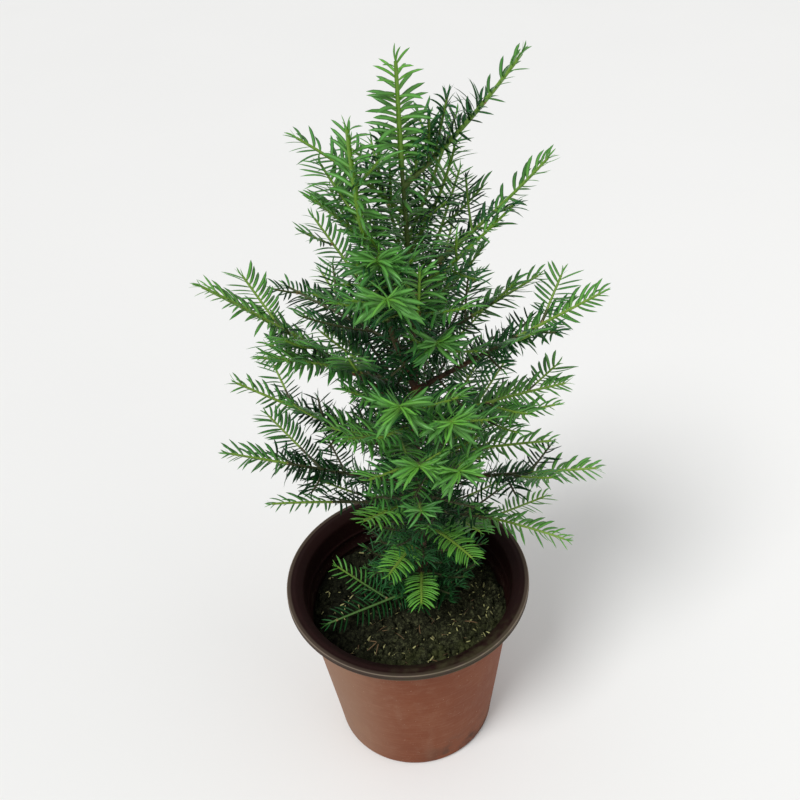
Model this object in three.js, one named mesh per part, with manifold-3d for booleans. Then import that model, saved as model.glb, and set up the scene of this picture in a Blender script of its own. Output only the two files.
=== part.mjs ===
// Potted Chinese yew: a young yew with feathery needle shoots, in a round plastic nursery pot.
// Millimetres, +Z up. The origin is the centre of the pot's flat underside, and +X is the right
// side as one faces the plant.

import * as THREE from "three";
import { mergeVertices } from "three/addons/utils/BufferGeometryUtils.js";
import Module from "manifold-3d";

const wasm = await Module();
wasm.setup();

// Gap left between two pieces that touch.
const CLEAR = 0.3;

// Nursery pot: a tapered wall, a flat floor with drain holes, and a flange with a turned-down lip.
const POT = {
  height: 152,
  footRadius: 62,
  footRound: 4,
  wallTopRadius: 79.2,
  wallTopHeight: 146.5,
  wall: 1.6,
  floor: 1.8,
  flangeInner: 83,
  rimRadius: 90,
  lipDepth: 4.7,
  flange: 1.9,
  rings: [132, 120.5],
  ringDepth: 0.7,
  ringHeight: 1.4,
  drains: 6,
  drainRadius: 4.5,
  drainCircle: 44,
  sides: 36,
};

// Potting soil: uneven on top, with a level seat round the foot of the trunk.
const SOIL = { top: 116, bump: 1.7, seat: 15, blend: 16, rings: [22, 42, 60] };

// Trunk: a slight lean and sway, a flared foot, and a fork at its top.
const TRUNK = {
  footX: 12,
  footY: 10,
  leanX: 1.5,
  leanY: -10,
  sway: 1.2,
  top: 472,
  topRadius: 2,
  girth: 3.4,
  flare: 3,
  flareHeight: 9,
  sides: 8,
  segments: 20,
};

// Boughs: round limbs, thicker the further they carry.
const BOUGH = { tipRadius: 1.4, girth: 1.3, perReach: 1 / 80, sides: 6, segmentLength: 14 };

// Needle shoots: a three-sided stem with a row of needles down each side. Gaps are what a stem or
// a needle keeps to other masses, to limbs and to its own mass.
const SHOOT = {
  step: 5,
  needle: 16.5,
  shortest: 0.56,
  pitch: 7.9,
  lean: 58,
  cup: 6,
  endNeedle: 9,
  stem: 1.3,
  tip: 0.7,
  belly: 0.6,
  bareFoot: 9,
  bareTip: 4,
  bareStep: 14,
  needleRadius: 2.3,
  stemGap: 3,
  spaceGap: 0.6,
  ownGap: 0.1,
  cuts: [1, 0.78, 0.58],
};

// Side shoots leave a stem in turn to the left and to the right.
const SIDE = {
  first: 13,
  spacing: 25,
  scatter: 8,
  angle: 42,
  angleScatter: 14,
  turnUp: 0.7,
  droop: 0.35,
  share: 0.5,
  shareScatter: 0.24,
  extra: 12,
  least: 21,
  most: 60,
  swing: 8,
  lift: 12,
  rootLength: 4,
  bare: 5,
  thinner: 0.8,
  flatter: 0.6,
  cuts: [1, 0.75, 0.5],
};

// Main limbs seen on the plant. Each leaves the trunk at a height z, in a direction given by its
// bearing from +X and its rise from level, in degrees. The rise changes by lift along the limb.
// Reach is its length to the tip of the last needle, bough is the length that is bare wood, and fan
// is how far the needles stand out of one plane.
const LIMBS = [
  { z: 300, bearing: 190, rise: 50, lift: -10, reach: 174, bough: 74 },
  { z: 325, bearing: 215, rise: 70, lift: 20, reach: 189, bough: 84, fan: 30 },
  { z: 260, bearing: 180, rise: 34, reach: 141, bough: 48 },
  { z: 235, bearing: 190, rise: 26, reach: 142, bough: 50 },
  { z: 462, bearing: 2, rise: 40, lift: 14, reach: 100, bough: 26, fan: 20 },
  { z: 400, bearing: 0, rise: 38, lift: 10, reach: 114, bough: 34 },
  { z: 320, bearing: 350, rise: 34, reach: 142, bough: 52 },
  { z: 240, bearing: 350, rise: 9, reach: 130, bough: 50 },
  { z: 318, bearing: 208, rise: 44, lift: -20, reach: 124 },
  { z: 215, bearing: 205, rise: 32, lift: -10, reach: 124 },
  { z: 350, bearing: 150, rise: 17, reach: 102 },
  { z: 290, bearing: 350, rise: 27, lift: -10, reach: 111 },
  { z: 400, bearing: 195, rise: 56, lift: -10, reach: 89 },
  { z: 445, bearing: 165, rise: 43, lift: -15, reach: 80 },
  { z: 386, bearing: 340, rise: 49, reach: 94 },
  { z: 420, bearing: 30, rise: 45, lift: 30, reach: 73, fan: 20 },
  { z: 350, bearing: 10, rise: 27, reach: 97 },
  { z: 275, bearing: 345, rise: 30, lift: -10, reach: 108 },
  { z: 260, bearing: 345, rise: 22, lift: -10, reach: 102 },
  { z: 215, bearing: 335, rise: 11, lift: -20, reach: 114 },
  { z: 376, bearing: 260, rise: 36, lift: 5, reach: 107, fan: 40 },
  { z: 392, bearing: 250, rise: 43, lift: 5, reach: 79, fan: 40 },
  { z: 366, bearing: 275, rise: 36, lift: 40, reach: 96, fan: 25 },
  { z: 306, bearing: 263, rise: 34, lift: 10, reach: 109, fan: 40 },
  { z: 300, bearing: 283, rise: 30, lift: 10, reach: 107, fan: 40 },
  { z: 350, bearing: 285, rise: 34, lift: 10, reach: 71, fan: 30 },
  { z: 268, bearing: 270, rise: 31, lift: 10, reach: 106, fan: 35 },
  { z: 262, bearing: 286, rise: 30, lift: 10, reach: 109, fan: 35 },
  { z: 284, bearing: 231, rise: 32, reach: 85, fan: 25 },
  { z: 236, bearing: 270, rise: 29, lift: 10, reach: 105, fan: 40 },
  { z: 222, bearing: 235, rise: 28, reach: 79 },
  { z: 178, bearing: 246, rise: 32, lift: -20, reach: 69 },
  { z: 198, bearing: 303, rise: 27, lift: -30, reach: 71 },
  { z: 150, bearing: 267, rise: 33, lift: -30, reach: 63 },
  { z: 128, bearing: 205, rise: 3, reach: 88 },
  { z: 212, bearing: 312, rise: 28, reach: 87, fan: 20 },
];

// Limbs of the far side follow a rule: they climb the trunk, turn from side to side, rise more
// steeply and are shorter towards the top.
const FAR_SIDE = {
  count: 12,
  lowest: 158,
  climb: 24.5,
  middle: 90,
  turn: 50,
  rise: 16,
  steeper: 32,
  reach: 76,
  swell: 48,
};

// The leader goes on upward from the top of the trunk.
const LEADER = { z: TRUNK.top, bearing: 270, rise: 88, lift: -3, reach: 67, fan: 45, leader: true };

// Largest roll of a limb's needles out of level.
const LIMB_ROLL = 8;

// Share of a turn that spreads successive limbs evenly.
const GOLDEN = 0.618;

// Hash generator for the scatter of the side shoots. The same start gives the same plant.
function seeded(start) {
  let state = start >>> 0;
  return () => {
    state = (Math.imul(state, 1664525) + 1013904223) >>> 0;
    return state / 4294967296;
  };
}

const radians = THREE.MathUtils.degToRad;
const clamp = THREE.MathUtils.clamp;

// Turns a closed geometry into a solid, with its shared vertices merged.
function toSolid(geometry) {
  geometry.deleteAttribute("normal");
  geometry.deleteAttribute("uv");
  const merged = mergeVertices(geometry, 1e-4);
  return new wasm.Manifold(new wasm.Mesh({
    numProp: 3,
    vertProperties: new Float32Array(merged.attributes.position.array),
    triVerts: new Uint32Array(merged.index.array),
  }));
}

// Largest body of a solid, without the scraps that a cut leaves.
function mainBody(solid) {
  const bodies = solid.decompose();
  return bodies.reduce((best, body) => (body.volume() > best.volume() ? body : best));
}

function toMesh(name, solid, material) {
  const data = solid.getMesh();
  const geometry = new THREE.BufferGeometry();
  geometry.setAttribute("position", new THREE.BufferAttribute(data.vertProperties, 3));
  geometry.setIndex(new THREE.BufferAttribute(data.triVerts, 1));
  geometry.computeVertexNormals();
  const mesh = new THREE.Mesh(geometry, material);
  mesh.name = name;
  return mesh;
}

// Pot

function outerRadius(z) {
  const share = (z - POT.footRound) / (POT.wallTopHeight - POT.footRound);
  return THREE.MathUtils.lerp(POT.footRadius, POT.wallTopRadius, share);
}

function innerRadius(z) {
  return outerRadius(Math.min(z, POT.wallTopHeight)) - POT.wall;
}

function potProfile() {
  const foot = POT.footRadius;
  const round = POT.footRound;
  const lipBottom = POT.height - POT.lipDepth;
  const under = POT.height - POT.flange;
  const points = [[0, 0], [foot - round, 0]];
  for (const turn of [45, 90]) {
    const across = foot - round + round * Math.sin(radians(turn));
    points.push([across, round - round * Math.cos(radians(turn))]);
  }
  points.push(
    [POT.wallTopRadius, POT.wallTopHeight],
    [POT.flangeInner, under],
    [POT.rimRadius - POT.flange, under],
    [POT.rimRadius - POT.flange / 2, lipBottom],
    [POT.rimRadius, lipBottom + 0.8],
    [POT.rimRadius, POT.height - 1],
    [POT.rimRadius - 1, POT.height],
    [POT.flangeInner, POT.height],
    [innerRadius(POT.wallTopHeight), POT.wallTopHeight + 0.4],
  );
  for (const z of POT.rings) {
    points.push(
      [innerRadius(z + POT.ringHeight), z + POT.ringHeight],
      [innerRadius(z + POT.ringHeight / 2) - POT.ringDepth, z + POT.ringHeight / 2],
      [innerRadius(z), z],
    );
  }
  points.push([innerRadius(round + POT.floor), round + POT.floor]);
  points.push([foot - round - POT.wall, POT.floor], [0, POT.floor]);
  return points.map(([radius, z]) => new THREE.Vector2(radius, z));
}

function makePot() {
  const shell = new THREE.LatheGeometry(potProfile(), POT.sides).rotateX(Math.PI / 2);
  let pot = toSolid(shell);
  for (let i = 0; i < POT.drains; i += 1) {
    const turn = (2 * Math.PI * i) / POT.drains;
    const drain = new THREE.CylinderGeometry(POT.drainRadius, POT.drainRadius, 3 * POT.floor, 10);
    drain.rotateX(Math.PI / 2);
    drain.translate(POT.drainCircle * Math.cos(turn), POT.drainCircle * Math.sin(turn), POT.floor / 2);
    pot = pot.subtract(toSolid(drain));
  }
  return mainBody(pot);
}

// Soil

function soilHeight(x, y) {
  const away = Math.hypot(x - TRUNK.footX, y - TRUNK.footY) - SOIL.seat;
  const rough = clamp(away / SOIL.blend, 0, 1);
  const waves = Math.sin(0.11 * x + 0.7) * Math.cos(0.13 * y) + 0.6 * Math.sin(0.23 * (x - y));
  return SOIL.top + SOIL.bump * rough * waves;
}

function makeSoil() {
  const bottom = POT.floor + CLEAR;
  const corner = POT.footRound + POT.floor;
  const shoulder = SOIL.top - 3;
  const profile = [
    [0, bottom],
    [POT.footRadius - POT.footRound - POT.wall - CLEAR, bottom],
    [innerRadius(corner) - CLEAR, corner + CLEAR],
    [innerRadius(shoulder) - CLEAR, shoulder],
    [innerRadius(shoulder) - 2 * CLEAR, SOIL.top],
    ...SOIL.rings.slice().reverse().map((radius) => [radius, SOIL.top]),
    [0, SOIL.top],
  ].map(([radius, z]) => new THREE.Vector2(radius, z));
  const heap = new THREE.LatheGeometry(profile, POT.sides).rotateX(Math.PI / 2);
  const place = heap.attributes.position;
  for (let i = 0; i < place.count; i += 1) {
    if (place.getZ(i) > SOIL.top - 1) {
      place.setZ(i, soilHeight(place.getX(i), place.getY(i)));
    }
  }
  return toSolid(heap);
}

// Trunk and boughs

function trunkAxis(z) {
  const share = (z - SOIL.top) / (TRUNK.top - SOIL.top);
  const sway = TRUNK.sway * Math.sin(2 * Math.PI * share);
  return new THREE.Vector3(
    TRUNK.footX + TRUNK.leanX * share - sway,
    TRUNK.footY + TRUNK.leanY * share,
    z,
  );
}

function trunkRadius(z) {
  const share = clamp((z - SOIL.top) / (TRUNK.top - SOIL.top), 0, 1);
  const flare = TRUNK.flare * Math.exp(-(z - SOIL.top) / TRUNK.flareHeight);
  return TRUNK.topRadius + TRUNK.girth * (1 - share) ** 0.9 + flare;
}

// Bends a cylinder along an axis. The place function gives, for a share of the length, the centre,
// the two directions across and the radius.
function limbSolid(place, sides, segments) {
  const rod = new THREE.CylinderGeometry(1, 1, 1, sides, segments);
  const position = rod.attributes.position;
  for (let i = 0; i < position.count; i += 1) {
    const { centre, side, normal, radius } = place(position.getY(i) + 0.5);
    const point = centre.clone();
    point.addScaledVector(normal, radius * position.getX(i));
    point.addScaledVector(side, radius * position.getZ(i));
    position.setXYZ(i, point.x, point.y, point.z);
  }
  return toSolid(rod);
}

function makeTrunk(extra) {
  const foot = SOIL.top + CLEAR - extra;
  const top = TRUNK.top + extra;
  const side = new THREE.Vector3(0, 1, 0);
  const normal = new THREE.Vector3(1, 0, 0);
  return limbSolid((share) => {
    // Closer rings near the foot carry the flare.
    const z = foot + (top - foot) * share ** 1.5;
    return { centre: trunkAxis(z), side: side.clone().negate(), normal, radius: trunkRadius(z) + extra };
  }, TRUNK.sides, TRUNK.segments);
}

// A stem that grows from a start point. Its heading turns evenly along its length.
class Stem {
  constructor(start, { bearing, rise, swing = 0, lift = 0, roll = 0 }, length) {
    this.bearing = bearing;
    this.rise = rise;
    this.swing = swing;
    this.lift = lift;
    this.roll = roll;
    this.length = length;
    this.points = [start.clone()];
    const steps = Math.ceil(length / SHOOT.step);
    this.step = length / steps;
    for (let i = 0; i < steps; i += 1) {
      const ahead = this.heading((i + 0.5) * this.step).multiplyScalar(this.step);
      this.points.push(this.points[i].clone().add(ahead));
    }
  }

  angles(along) {
    const share = clamp(along / this.length, 0, 1);
    return [radians(this.bearing + this.swing * share), radians(this.rise + this.lift * share)];
  }

  heading(along) {
    const [bearing, rise] = this.angles(along);
    const level = Math.cos(rise);
    return new THREE.Vector3(Math.cos(bearing) * level, Math.sin(bearing) * level, Math.sin(rise));
  }

  point(along) {
    const place = clamp(along / this.step, 0, this.points.length - 1.0001);
    const index = Math.floor(place);
    return this.points[index].clone().lerp(this.points[index + 1], place - index);
  }

  // Directions ahead, to the left and up out of the plane of the needles.
  frame(along) {
    const [bearing] = this.angles(along);
    const ahead = this.heading(along);
    const level = new THREE.Vector3(-Math.sin(bearing), Math.cos(bearing), 0);
    const left = level.applyAxisAngle(ahead, radians(this.roll));
    return { ahead, left, up: ahead.clone().cross(left) };
  }
}

function boughRadius(limb, along) {
  const foot = BOUGH.girth + limb.reach * BOUGH.perReach;
  return THREE.MathUtils.lerp(foot, BOUGH.tipRadius, clamp(along / limb.bough, 0, 1));
}

function makeBough(limb, grownTrunk) {
  const segments = Math.ceil(limb.bough / BOUGH.segmentLength);
  const bough = limbSolid((share) => {
    const along = limb.bough * share;
    const { left, up } = limb.stem.frame(along);
    return { centre: limb.stem.point(along), side: left, normal: up, radius: boughRadius(limb, along) };
  }, BOUGH.sides, segments);
  return mainBody(bough.subtract(grownTrunk));
}

// Space kept by stems and needles, as round-ended rods

const rods = [];
const reachVector = new THREE.Vector3();

function rodGap(a, b, c, d) {
  const u = b.clone().sub(a);
  const v = d.clone().sub(c);
  const w = a.clone().sub(c);
  const uu = u.dot(u);
  const vv = v.dot(v);
  const uv = u.dot(v);
  const uw = u.dot(w);
  const vw = v.dot(w);
  const spread = uu * vv - uv * uv;
  const first = spread > 1e-9 ? clamp((uv * vw - vv * uw) / spread, 0, 1) : 0;
  const second = clamp((uv * first + vw) / vv, 0, 1);
  const onFirst = clamp((uv * second - uw) / uu, 0, 1);
  const near = a.clone().addScaledVector(u, onFirst);
  return near.distanceTo(c.clone().addScaledVector(v, second));
}

function addRod(from, to, radius, mass, shoot) {
  const middle = from.clone().add(to).multiplyScalar(0.5);
  const half = from.distanceTo(to) / 2;
  rods.push({ from, to, radius, mass, shoot, middle, half });
}

// Tells whether a rod is clear of every other one. The allow function leaves out those that it may
// touch, and the gap function gives the clearance to keep from each.
function isClear(from, to, radius, allow, gap) {
  const middle = from.clone().add(to).multiplyScalar(0.5);
  const half = from.distanceTo(to) / 2;
  return rods.every((rod) => {
    const need = radius + rod.radius + gap(rod);
    if (reachVector.subVectors(middle, rod.middle).length() > half + rod.half + need || allow(rod)) {
      return true;
    }
    return rodGap(from, to, rod.from, rod.to) > need;
  });
}

// Tells whether a point stands clear of the soil and of the pot's wall and rim.
function clearOfPot(point, radius) {
  if (point.z - radius < soilHeight(point.x, point.y) + SHOOT.spaceGap) {
    return false;
  }
  const across = Math.hypot(point.x, point.y) + radius;
  return point.z - radius > POT.height + SHOOT.spaceGap || across < innerRadius(point.z) - SHOOT.spaceGap;
}

function stemRods(stem, from, radius, mass, shoot) {
  const end = stem.length - SHOOT.endNeedle;
  const count = Math.max(1, Math.round((end - from) / 12));
  const list = [];
  for (let i = 0; i < count; i += 1) {
    const start = stem.point(THREE.MathUtils.lerp(from, end, i / count));
    const stop = stem.point(THREE.MathUtils.lerp(from, end, (i + 1) / count));
    list.push([start, stop, radius, mass, shoot]);
  }
  return list;
}

// Shoots

function stemThickness(shoot, along) {
  const share = clamp((along - shoot.from) / (shoot.stem.length - shoot.from), 0, 1);
  return THREE.MathUtils.lerp(shoot.thick, SHOOT.tip, share);
}

// Needles are longest past the middle of a shoot.
function needleLength(shoot, along) {
  const share = (along - shoot.firstNeedle) / (shoot.stem.length - shoot.firstNeedle);
  const swell = Math.sin(Math.PI * clamp(share * 0.86 + 0.1, 0, 1));
  return SHOOT.needle * THREE.MathUtils.lerp(SHOOT.shortest, 1, swell);
}

// Needle tip for one side of a shoot. Successive needles fan out of the plane in turn.
function needleTip(shoot, along, hand, turn, share) {
  const { ahead, left, up } = shoot.stem.frame(along);
  const lean = radians(SHOOT.lean);
  const lift = radians(shoot.fan * Math.sin(turn * 2.4 + hand) + SHOOT.cup);
  const out = left.multiplyScalar(hand * Math.sin(lean)).addScaledVector(ahead, Math.cos(lean));
  const direction = out.multiplyScalar(Math.cos(lift)).addScaledVector(up, Math.sin(lift));
  return shoot.stem.point(along).addScaledVector(direction, needleLength(shoot, along) * share);
}

// Chooses the needles of one shoot. Each is cut shorter, or left out, where it would leave its own
// space or touch a limb.
function growNeedles(shoot) {
  const end = shoot.stem.length - SHOOT.endNeedle;
  const count = Math.max(1, Math.round((end - shoot.firstNeedle) / SHOOT.pitch));
  shoot.pitch = (end - shoot.firstNeedle) / count;
  shoot.needles = [];
  const own = (rod) => rod.mass === shoot.mass && rod.shoot === shoot.index;
  const gap = (rod) => (rod.mass === shoot.mass ? SHOOT.ownGap : SHOOT.spaceGap);
  for (let i = 0; i < count; i += 1) {
    const along = shoot.firstNeedle + (i + 0.5) * shoot.pitch;
    const root = shoot.stem.point(along);
    const pair = [1, -1].map((hand) => {
      for (const share of SHOOT.cuts) {
        const tip = needleTip(shoot, along, hand, i, share);
        const from = root.clone().lerp(tip, 0.2);
        if (clearOfPot(tip, 0.5) && clearOfPot(from, SHOOT.needleRadius)
          && isClear(from, tip, SHOOT.needleRadius, own, gap)) {
          return { tip, from };
        }
      }
      return null;
    });
    for (const needle of pair) {
      if (needle) {
        addRod(needle.from, needle.tip, SHOOT.needleRadius, shoot.mass, shoot.index);
      }
    }
    shoot.needles.push(pair.map((needle) => needle && needle.tip));
  }
}

// Places along a shoot where its section is drawn: a few on the bare foot, then one on each side
// of every needle. The edges of the needled stretch slide ahead with the lean of the needles.
function shootStations(shoot) {
  const stations = [];
  const bare = Math.max(1, Math.round((shoot.firstNeedle - shoot.from) / SHOOT.bareStep));
  for (let i = 0; i < bare; i += 1) {
    const along = THREE.MathUtils.lerp(shoot.from, shoot.firstNeedle, i / bare);
    stations.push({ along, slide: 0, tips: [null, null] });
  }
  for (let i = 0; i <= shoot.needles.length; i += 1) {
    const along = shoot.firstNeedle + i * shoot.pitch;
    stations.push({ along, slide: 1 / Math.tan(radians(SHOOT.lean)), tips: shoot.needles[i] });
  }
  return stations;
}

// One closed blade: a three-sided stem with a ridge on top, and pointed needles down both sides.
function shootSolid(shoot) {
  const points = [];
  const faces = [];
  const add = (point) => points.push(point.x, point.y, point.z) / 3 - 1;
  const stations = shootStations(shoot);
  const rings = stations.map(({ along, slide }) => {
    const { ahead, left, up } = shoot.stem.frame(along);
    const half = stemThickness(shoot, along);
    const edge = (hand) => shoot.stem.point(along)
      .addScaledVector(left, hand * half)
      .addScaledVector(up, -SHOOT.belly * half)
      .addScaledVector(ahead, slide * half);
    const ridge = add(shoot.stem.point(along).addScaledVector(up, half));
    return { ridge, left: add(edge(1)), right: add(edge(-1)) };
  });
  stations.slice(0, -1).forEach(({ tips }, i) => {
    const here = rings[i];
    const next = rings[i + 1];
    faces.push(here.left, next.left, here.right, here.right, next.left, next.right);
    if (tips[0]) {
      const tip = add(tips[0]);
      faces.push(here.ridge, next.ridge, tip, here.ridge, tip, here.left);
      faces.push(next.ridge, next.left, tip, next.left, here.left, tip);
    } else {
      faces.push(here.ridge, next.ridge, next.left, here.ridge, next.left, here.left);
    }
    if (tips[1]) {
      const tip = add(tips[1]);
      faces.push(next.ridge, here.ridge, tip, tip, here.ridge, here.right);
      faces.push(next.right, next.ridge, tip, here.right, next.right, tip);
    } else {
      faces.push(next.ridge, here.ridge, next.right, next.right, here.ridge, here.right);
    }
  });
  const first = rings[0];
  const last = rings[rings.length - 1];
  const end = shoot.stem.length - SHOOT.endNeedle;
  const tip = add(shoot.stem.point(end).addScaledVector(shoot.stem.heading(end), SHOOT.endNeedle));
  faces.push(first.ridge, first.left, first.right);
  faces.push(last.ridge, tip, last.left, tip, last.ridge, last.right, last.left, tip, last.right);
  return new wasm.Manifold(new wasm.Mesh({
    numProp: 3,
    vertProperties: new Float32Array(points),
    triVerts: new Uint32Array(faces),
  }));
}

// First direction of a side shoot, from the stem that it leaves.
function sideHeading(stem, along, hand, angle, turnUp) {
  const { ahead, left, up } = stem.frame(along);
  const direction = ahead.multiplyScalar(Math.cos(angle)).addScaledVector(left, hand * Math.sin(angle));
  direction.addScaledVector(up, turnUp).normalize();
  return {
    bearing: THREE.MathUtils.radToDeg(Math.atan2(direction.y, direction.x)),
    rise: THREE.MathUtils.radToDeg(Math.asin(direction.z)),
    swing: -SIDE.swing * hand,
    lift: SIDE.lift,
    roll: stem.roll,
  };
}

// Adds a side shoot at its full length, or cut shorter where that keeps it clear of the pot, of
// every limb and of other masses. Where no length does, it is left out.
function addSideShoot(mass, along, heading, full) {
  const main = mass.shoots[0];
  const index = mass.shoots.length;
  const mayTouch = (rod) => rod.mass === mass.index && rod.shoot === 0;
  for (const length of SIDE.cuts.map((cut) => cut * full).filter((cut) => cut >= SIDE.least)) {
    const stem = new Stem(main.stem.point(along), heading, length);
    const span = stemRods(stem, SIDE.rootLength, SHOOT.stem, mass.index, index);
    const fits = span.every(([from, to, radius]) => clearOfPot(to, SHOOT.needleRadius)
      && isClear(from, to, radius, mayTouch, () => SHOOT.stemGap));
    if (fits) {
      span.forEach((rod) => addRod(...rod));
      mass.shoots.push({
        stem,
        mass: mass.index,
        index,
        from: 0,
        firstNeedle: SIDE.bare,
        thick: stemThickness(main, along) * SIDE.thinner,
        fan: main.fan * SIDE.flatter,
      });
      return;
    }
  }
}

// Side shoots of a mass, by the seeded rule.
function growSides(mass) {
  const random = seeded(mass.index * 7919 + 17);
  const { stem, firstNeedle } = mass.shoots[0];
  let hand = random() < 0.5 ? 1 : -1;
  let along = firstNeedle + SIDE.first + SIDE.scatter * (random() - 0.5);
  while (along < stem.length - SHOOT.endNeedle) {
    const angle = radians(SIDE.angle + SIDE.angleScatter * random());
    const share = SIDE.share + SIDE.shareScatter * random();
    const turnUp = SIDE.turnUp * (random() - SIDE.droop);
    const full = Math.min(SIDE.most, (stem.length - along) * share + SIDE.extra);
    addSideShoot(mass, along, sideHeading(stem, along, hand, angle, turnUp), full);
    hand = -hand;
    along += SIDE.spacing + SIDE.scatter * (random() - 0.5);
  }
}

// Layout of all limbs

function farSideLimbs() {
  return Array.from({ length: FAR_SIDE.count }, (_, i) => {
    const share = i / (FAR_SIDE.count - 1);
    const side = i % 2 === 0 ? 1 : -1;
    return {
      z: FAR_SIDE.lowest + FAR_SIDE.climb * i,
      bearing: FAR_SIDE.middle + side * FAR_SIDE.turn * (0.2 + 0.8 * ((i * GOLDEN) % 1)),
      rise: FAR_SIDE.rise + FAR_SIDE.steeper * share,
      lift: 6,
      reach: FAR_SIDE.reach + FAR_SIDE.swell * Math.sin(Math.PI * (0.3 + 0.65 * share)),
    };
  });
}

function layOut() {
  return [...LIMBS, ...farSideLimbs(), LEADER].map((row, i) => {
    const limb = { lift: 0, bough: 0, fan: 10, ...row, index: i + 1 };
    limb.roll = LIMB_ROLL * Math.sin(limb.index * 2.1);
    limb.stem = new Stem(trunkAxis(limb.z), limb, limb.reach);
    return limb;
  });
}

// The space taken by the trunk and by a bough.
function keepTrunkSpace() {
  const step = 25;
  for (let z = SOIL.top; z < TRUNK.top; z += step) {
    const top = Math.min(z + step, TRUNK.top);
    addRod(trunkAxis(z), trunkAxis(top), trunkRadius((z + top) / 2), 0, -1);
  }
}

function keepBoughSpace(limb) {
  const foot = limb.stem.point(trunkRadius(limb.z) + 2);
  const middle = limb.stem.point(limb.bough / 2);
  const end = limb.stem.point(limb.bough);
  addRod(foot, middle, boughRadius(limb, limb.bough / 4), limb.index, 0);
  addRod(middle, end, boughRadius(limb, limb.bough * 0.75), limb.index, 0);
}

// The main stem of a mass starts just beyond its bough's tip or the trunk's tip, or else inside the
// trunk, where it is cut off at the bark.
function startMass(limb) {
  const carried = limb.bough > 0 || limb.leader;
  const from = carried ? limb.bough + CLEAR : 0;
  const foot = carried ? limb.bough : trunkRadius(limb.z);
  if (limb.bough > 0) {
    keepBoughSpace(limb);
  }
  stemRods(limb.stem, foot + 2, SHOOT.stem, limb.index, 0).forEach((rod) => addRod(...rod));
  const main = {
    stem: limb.stem,
    mass: limb.index,
    index: 0,
    from,
    firstNeedle: foot + (carried ? SHOOT.bareTip : SHOOT.bareFoot),
    thick: SHOOT.stem,
    fan: limb.fan,
  };
  return { index: limb.index, leader: limb.leader, z: limb.z, carried, shoots: [main] };
}

function growMasses(limbs) {
  keepTrunkSpace();
  const masses = limbs.map(startMass);
  masses.forEach(growSides);
  masses.forEach((mass) => growNeedles(mass.shoots[0]));
  masses.forEach((mass) => mass.shoots.slice(1).forEach(growNeedles));
  return masses;
}

function massSolid(mass, grownTrunk) {
  const fused = mass.shoots.map(shootSolid).reduce((sum, shoot) => sum.add(shoot));
  return mainBody(mass.carried ? fused : fused.subtract(grownTrunk));
}

// Materials

function finish(color, roughness) {
  return new THREE.MeshStandardMaterial({ color, roughness, metalness: 0, flatShading: true });
}

const POT_PLASTIC = finish(0x7d4b37, 0.55);
const POTTING_SOIL = finish(0x2b2119, 0.95);
const TRUNK_BARK = finish(0x5b4232, 0.9);
const BOUGH_BARK = finish(0x66503a, 0.85);

function foliageFinish(mass) {
  const young = clamp((mass.z - 260) / 260, 0, 1);
  return finish(new THREE.Color(0.05 + 0.03 * young, 0.17 + 0.07 * young, 0.05), 0.5);
}

// Whole plant

const yew = new THREE.Group();
const grownTrunk = makeTrunk(CLEAR);
const limbs = layOut();
const label = (number) => String(number).padStart(2, "0");

yew.add(toMesh("pot", makePot(), POT_PLASTIC));
yew.add(toMesh("soil", makeSoil(), POTTING_SOIL));
yew.add(toMesh("trunk", makeTrunk(0), TRUNK_BARK));
for (const limb of limbs.filter(({ bough }) => bough > 0)) {
  yew.add(toMesh(`bough_${label(limb.index)}`, makeBough(limb, grownTrunk), BOUGH_BARK));
}
for (const mass of growMasses(limbs)) {
  const name = mass.leader ? "foliage_leader" : `foliage_${label(mass.index)}`;
  yew.add(toMesh(name, massSolid(mass, grownTrunk), foliageFinish(mass)));
}

export default yew;
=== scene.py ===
"""Potted Chinese yew, dressed over its solid frame.

The bark, twigs and needles grow by the seeded rule of the solids, carried on to finer twigs and
to needles of their real size. The nursery pot and its soil get their thin plastic and their
crumbs. Lengths are in metres, angles in degrees.
"""

import math
from dataclasses import dataclass, field
from functools import lru_cache
from typing import NamedTuple

import bmesh
import bpy
import numpy as np
from bpy.props import FloatProperty, FloatVectorProperty, IntProperty, PointerProperty
from mathutils import Matrix, Vector, noise


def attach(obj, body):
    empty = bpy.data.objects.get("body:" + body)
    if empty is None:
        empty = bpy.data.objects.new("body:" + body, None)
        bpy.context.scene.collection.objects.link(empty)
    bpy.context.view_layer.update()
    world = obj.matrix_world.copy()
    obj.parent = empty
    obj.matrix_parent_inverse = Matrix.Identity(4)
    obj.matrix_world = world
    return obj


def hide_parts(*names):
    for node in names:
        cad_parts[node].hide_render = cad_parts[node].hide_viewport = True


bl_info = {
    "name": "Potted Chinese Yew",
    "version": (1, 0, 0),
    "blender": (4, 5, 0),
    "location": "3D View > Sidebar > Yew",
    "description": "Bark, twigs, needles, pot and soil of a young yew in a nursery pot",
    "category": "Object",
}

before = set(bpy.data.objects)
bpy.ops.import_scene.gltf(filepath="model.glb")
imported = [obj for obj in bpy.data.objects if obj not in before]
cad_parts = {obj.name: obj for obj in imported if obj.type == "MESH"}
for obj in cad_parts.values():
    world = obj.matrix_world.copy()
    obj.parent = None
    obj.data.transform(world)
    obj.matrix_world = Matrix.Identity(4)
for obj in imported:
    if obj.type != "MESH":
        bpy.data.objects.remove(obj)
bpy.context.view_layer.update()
LIMB_NODES = sorted(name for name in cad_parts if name.startswith(("trunk", "bough")))


# The rule of growth, as the solids have it


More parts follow.
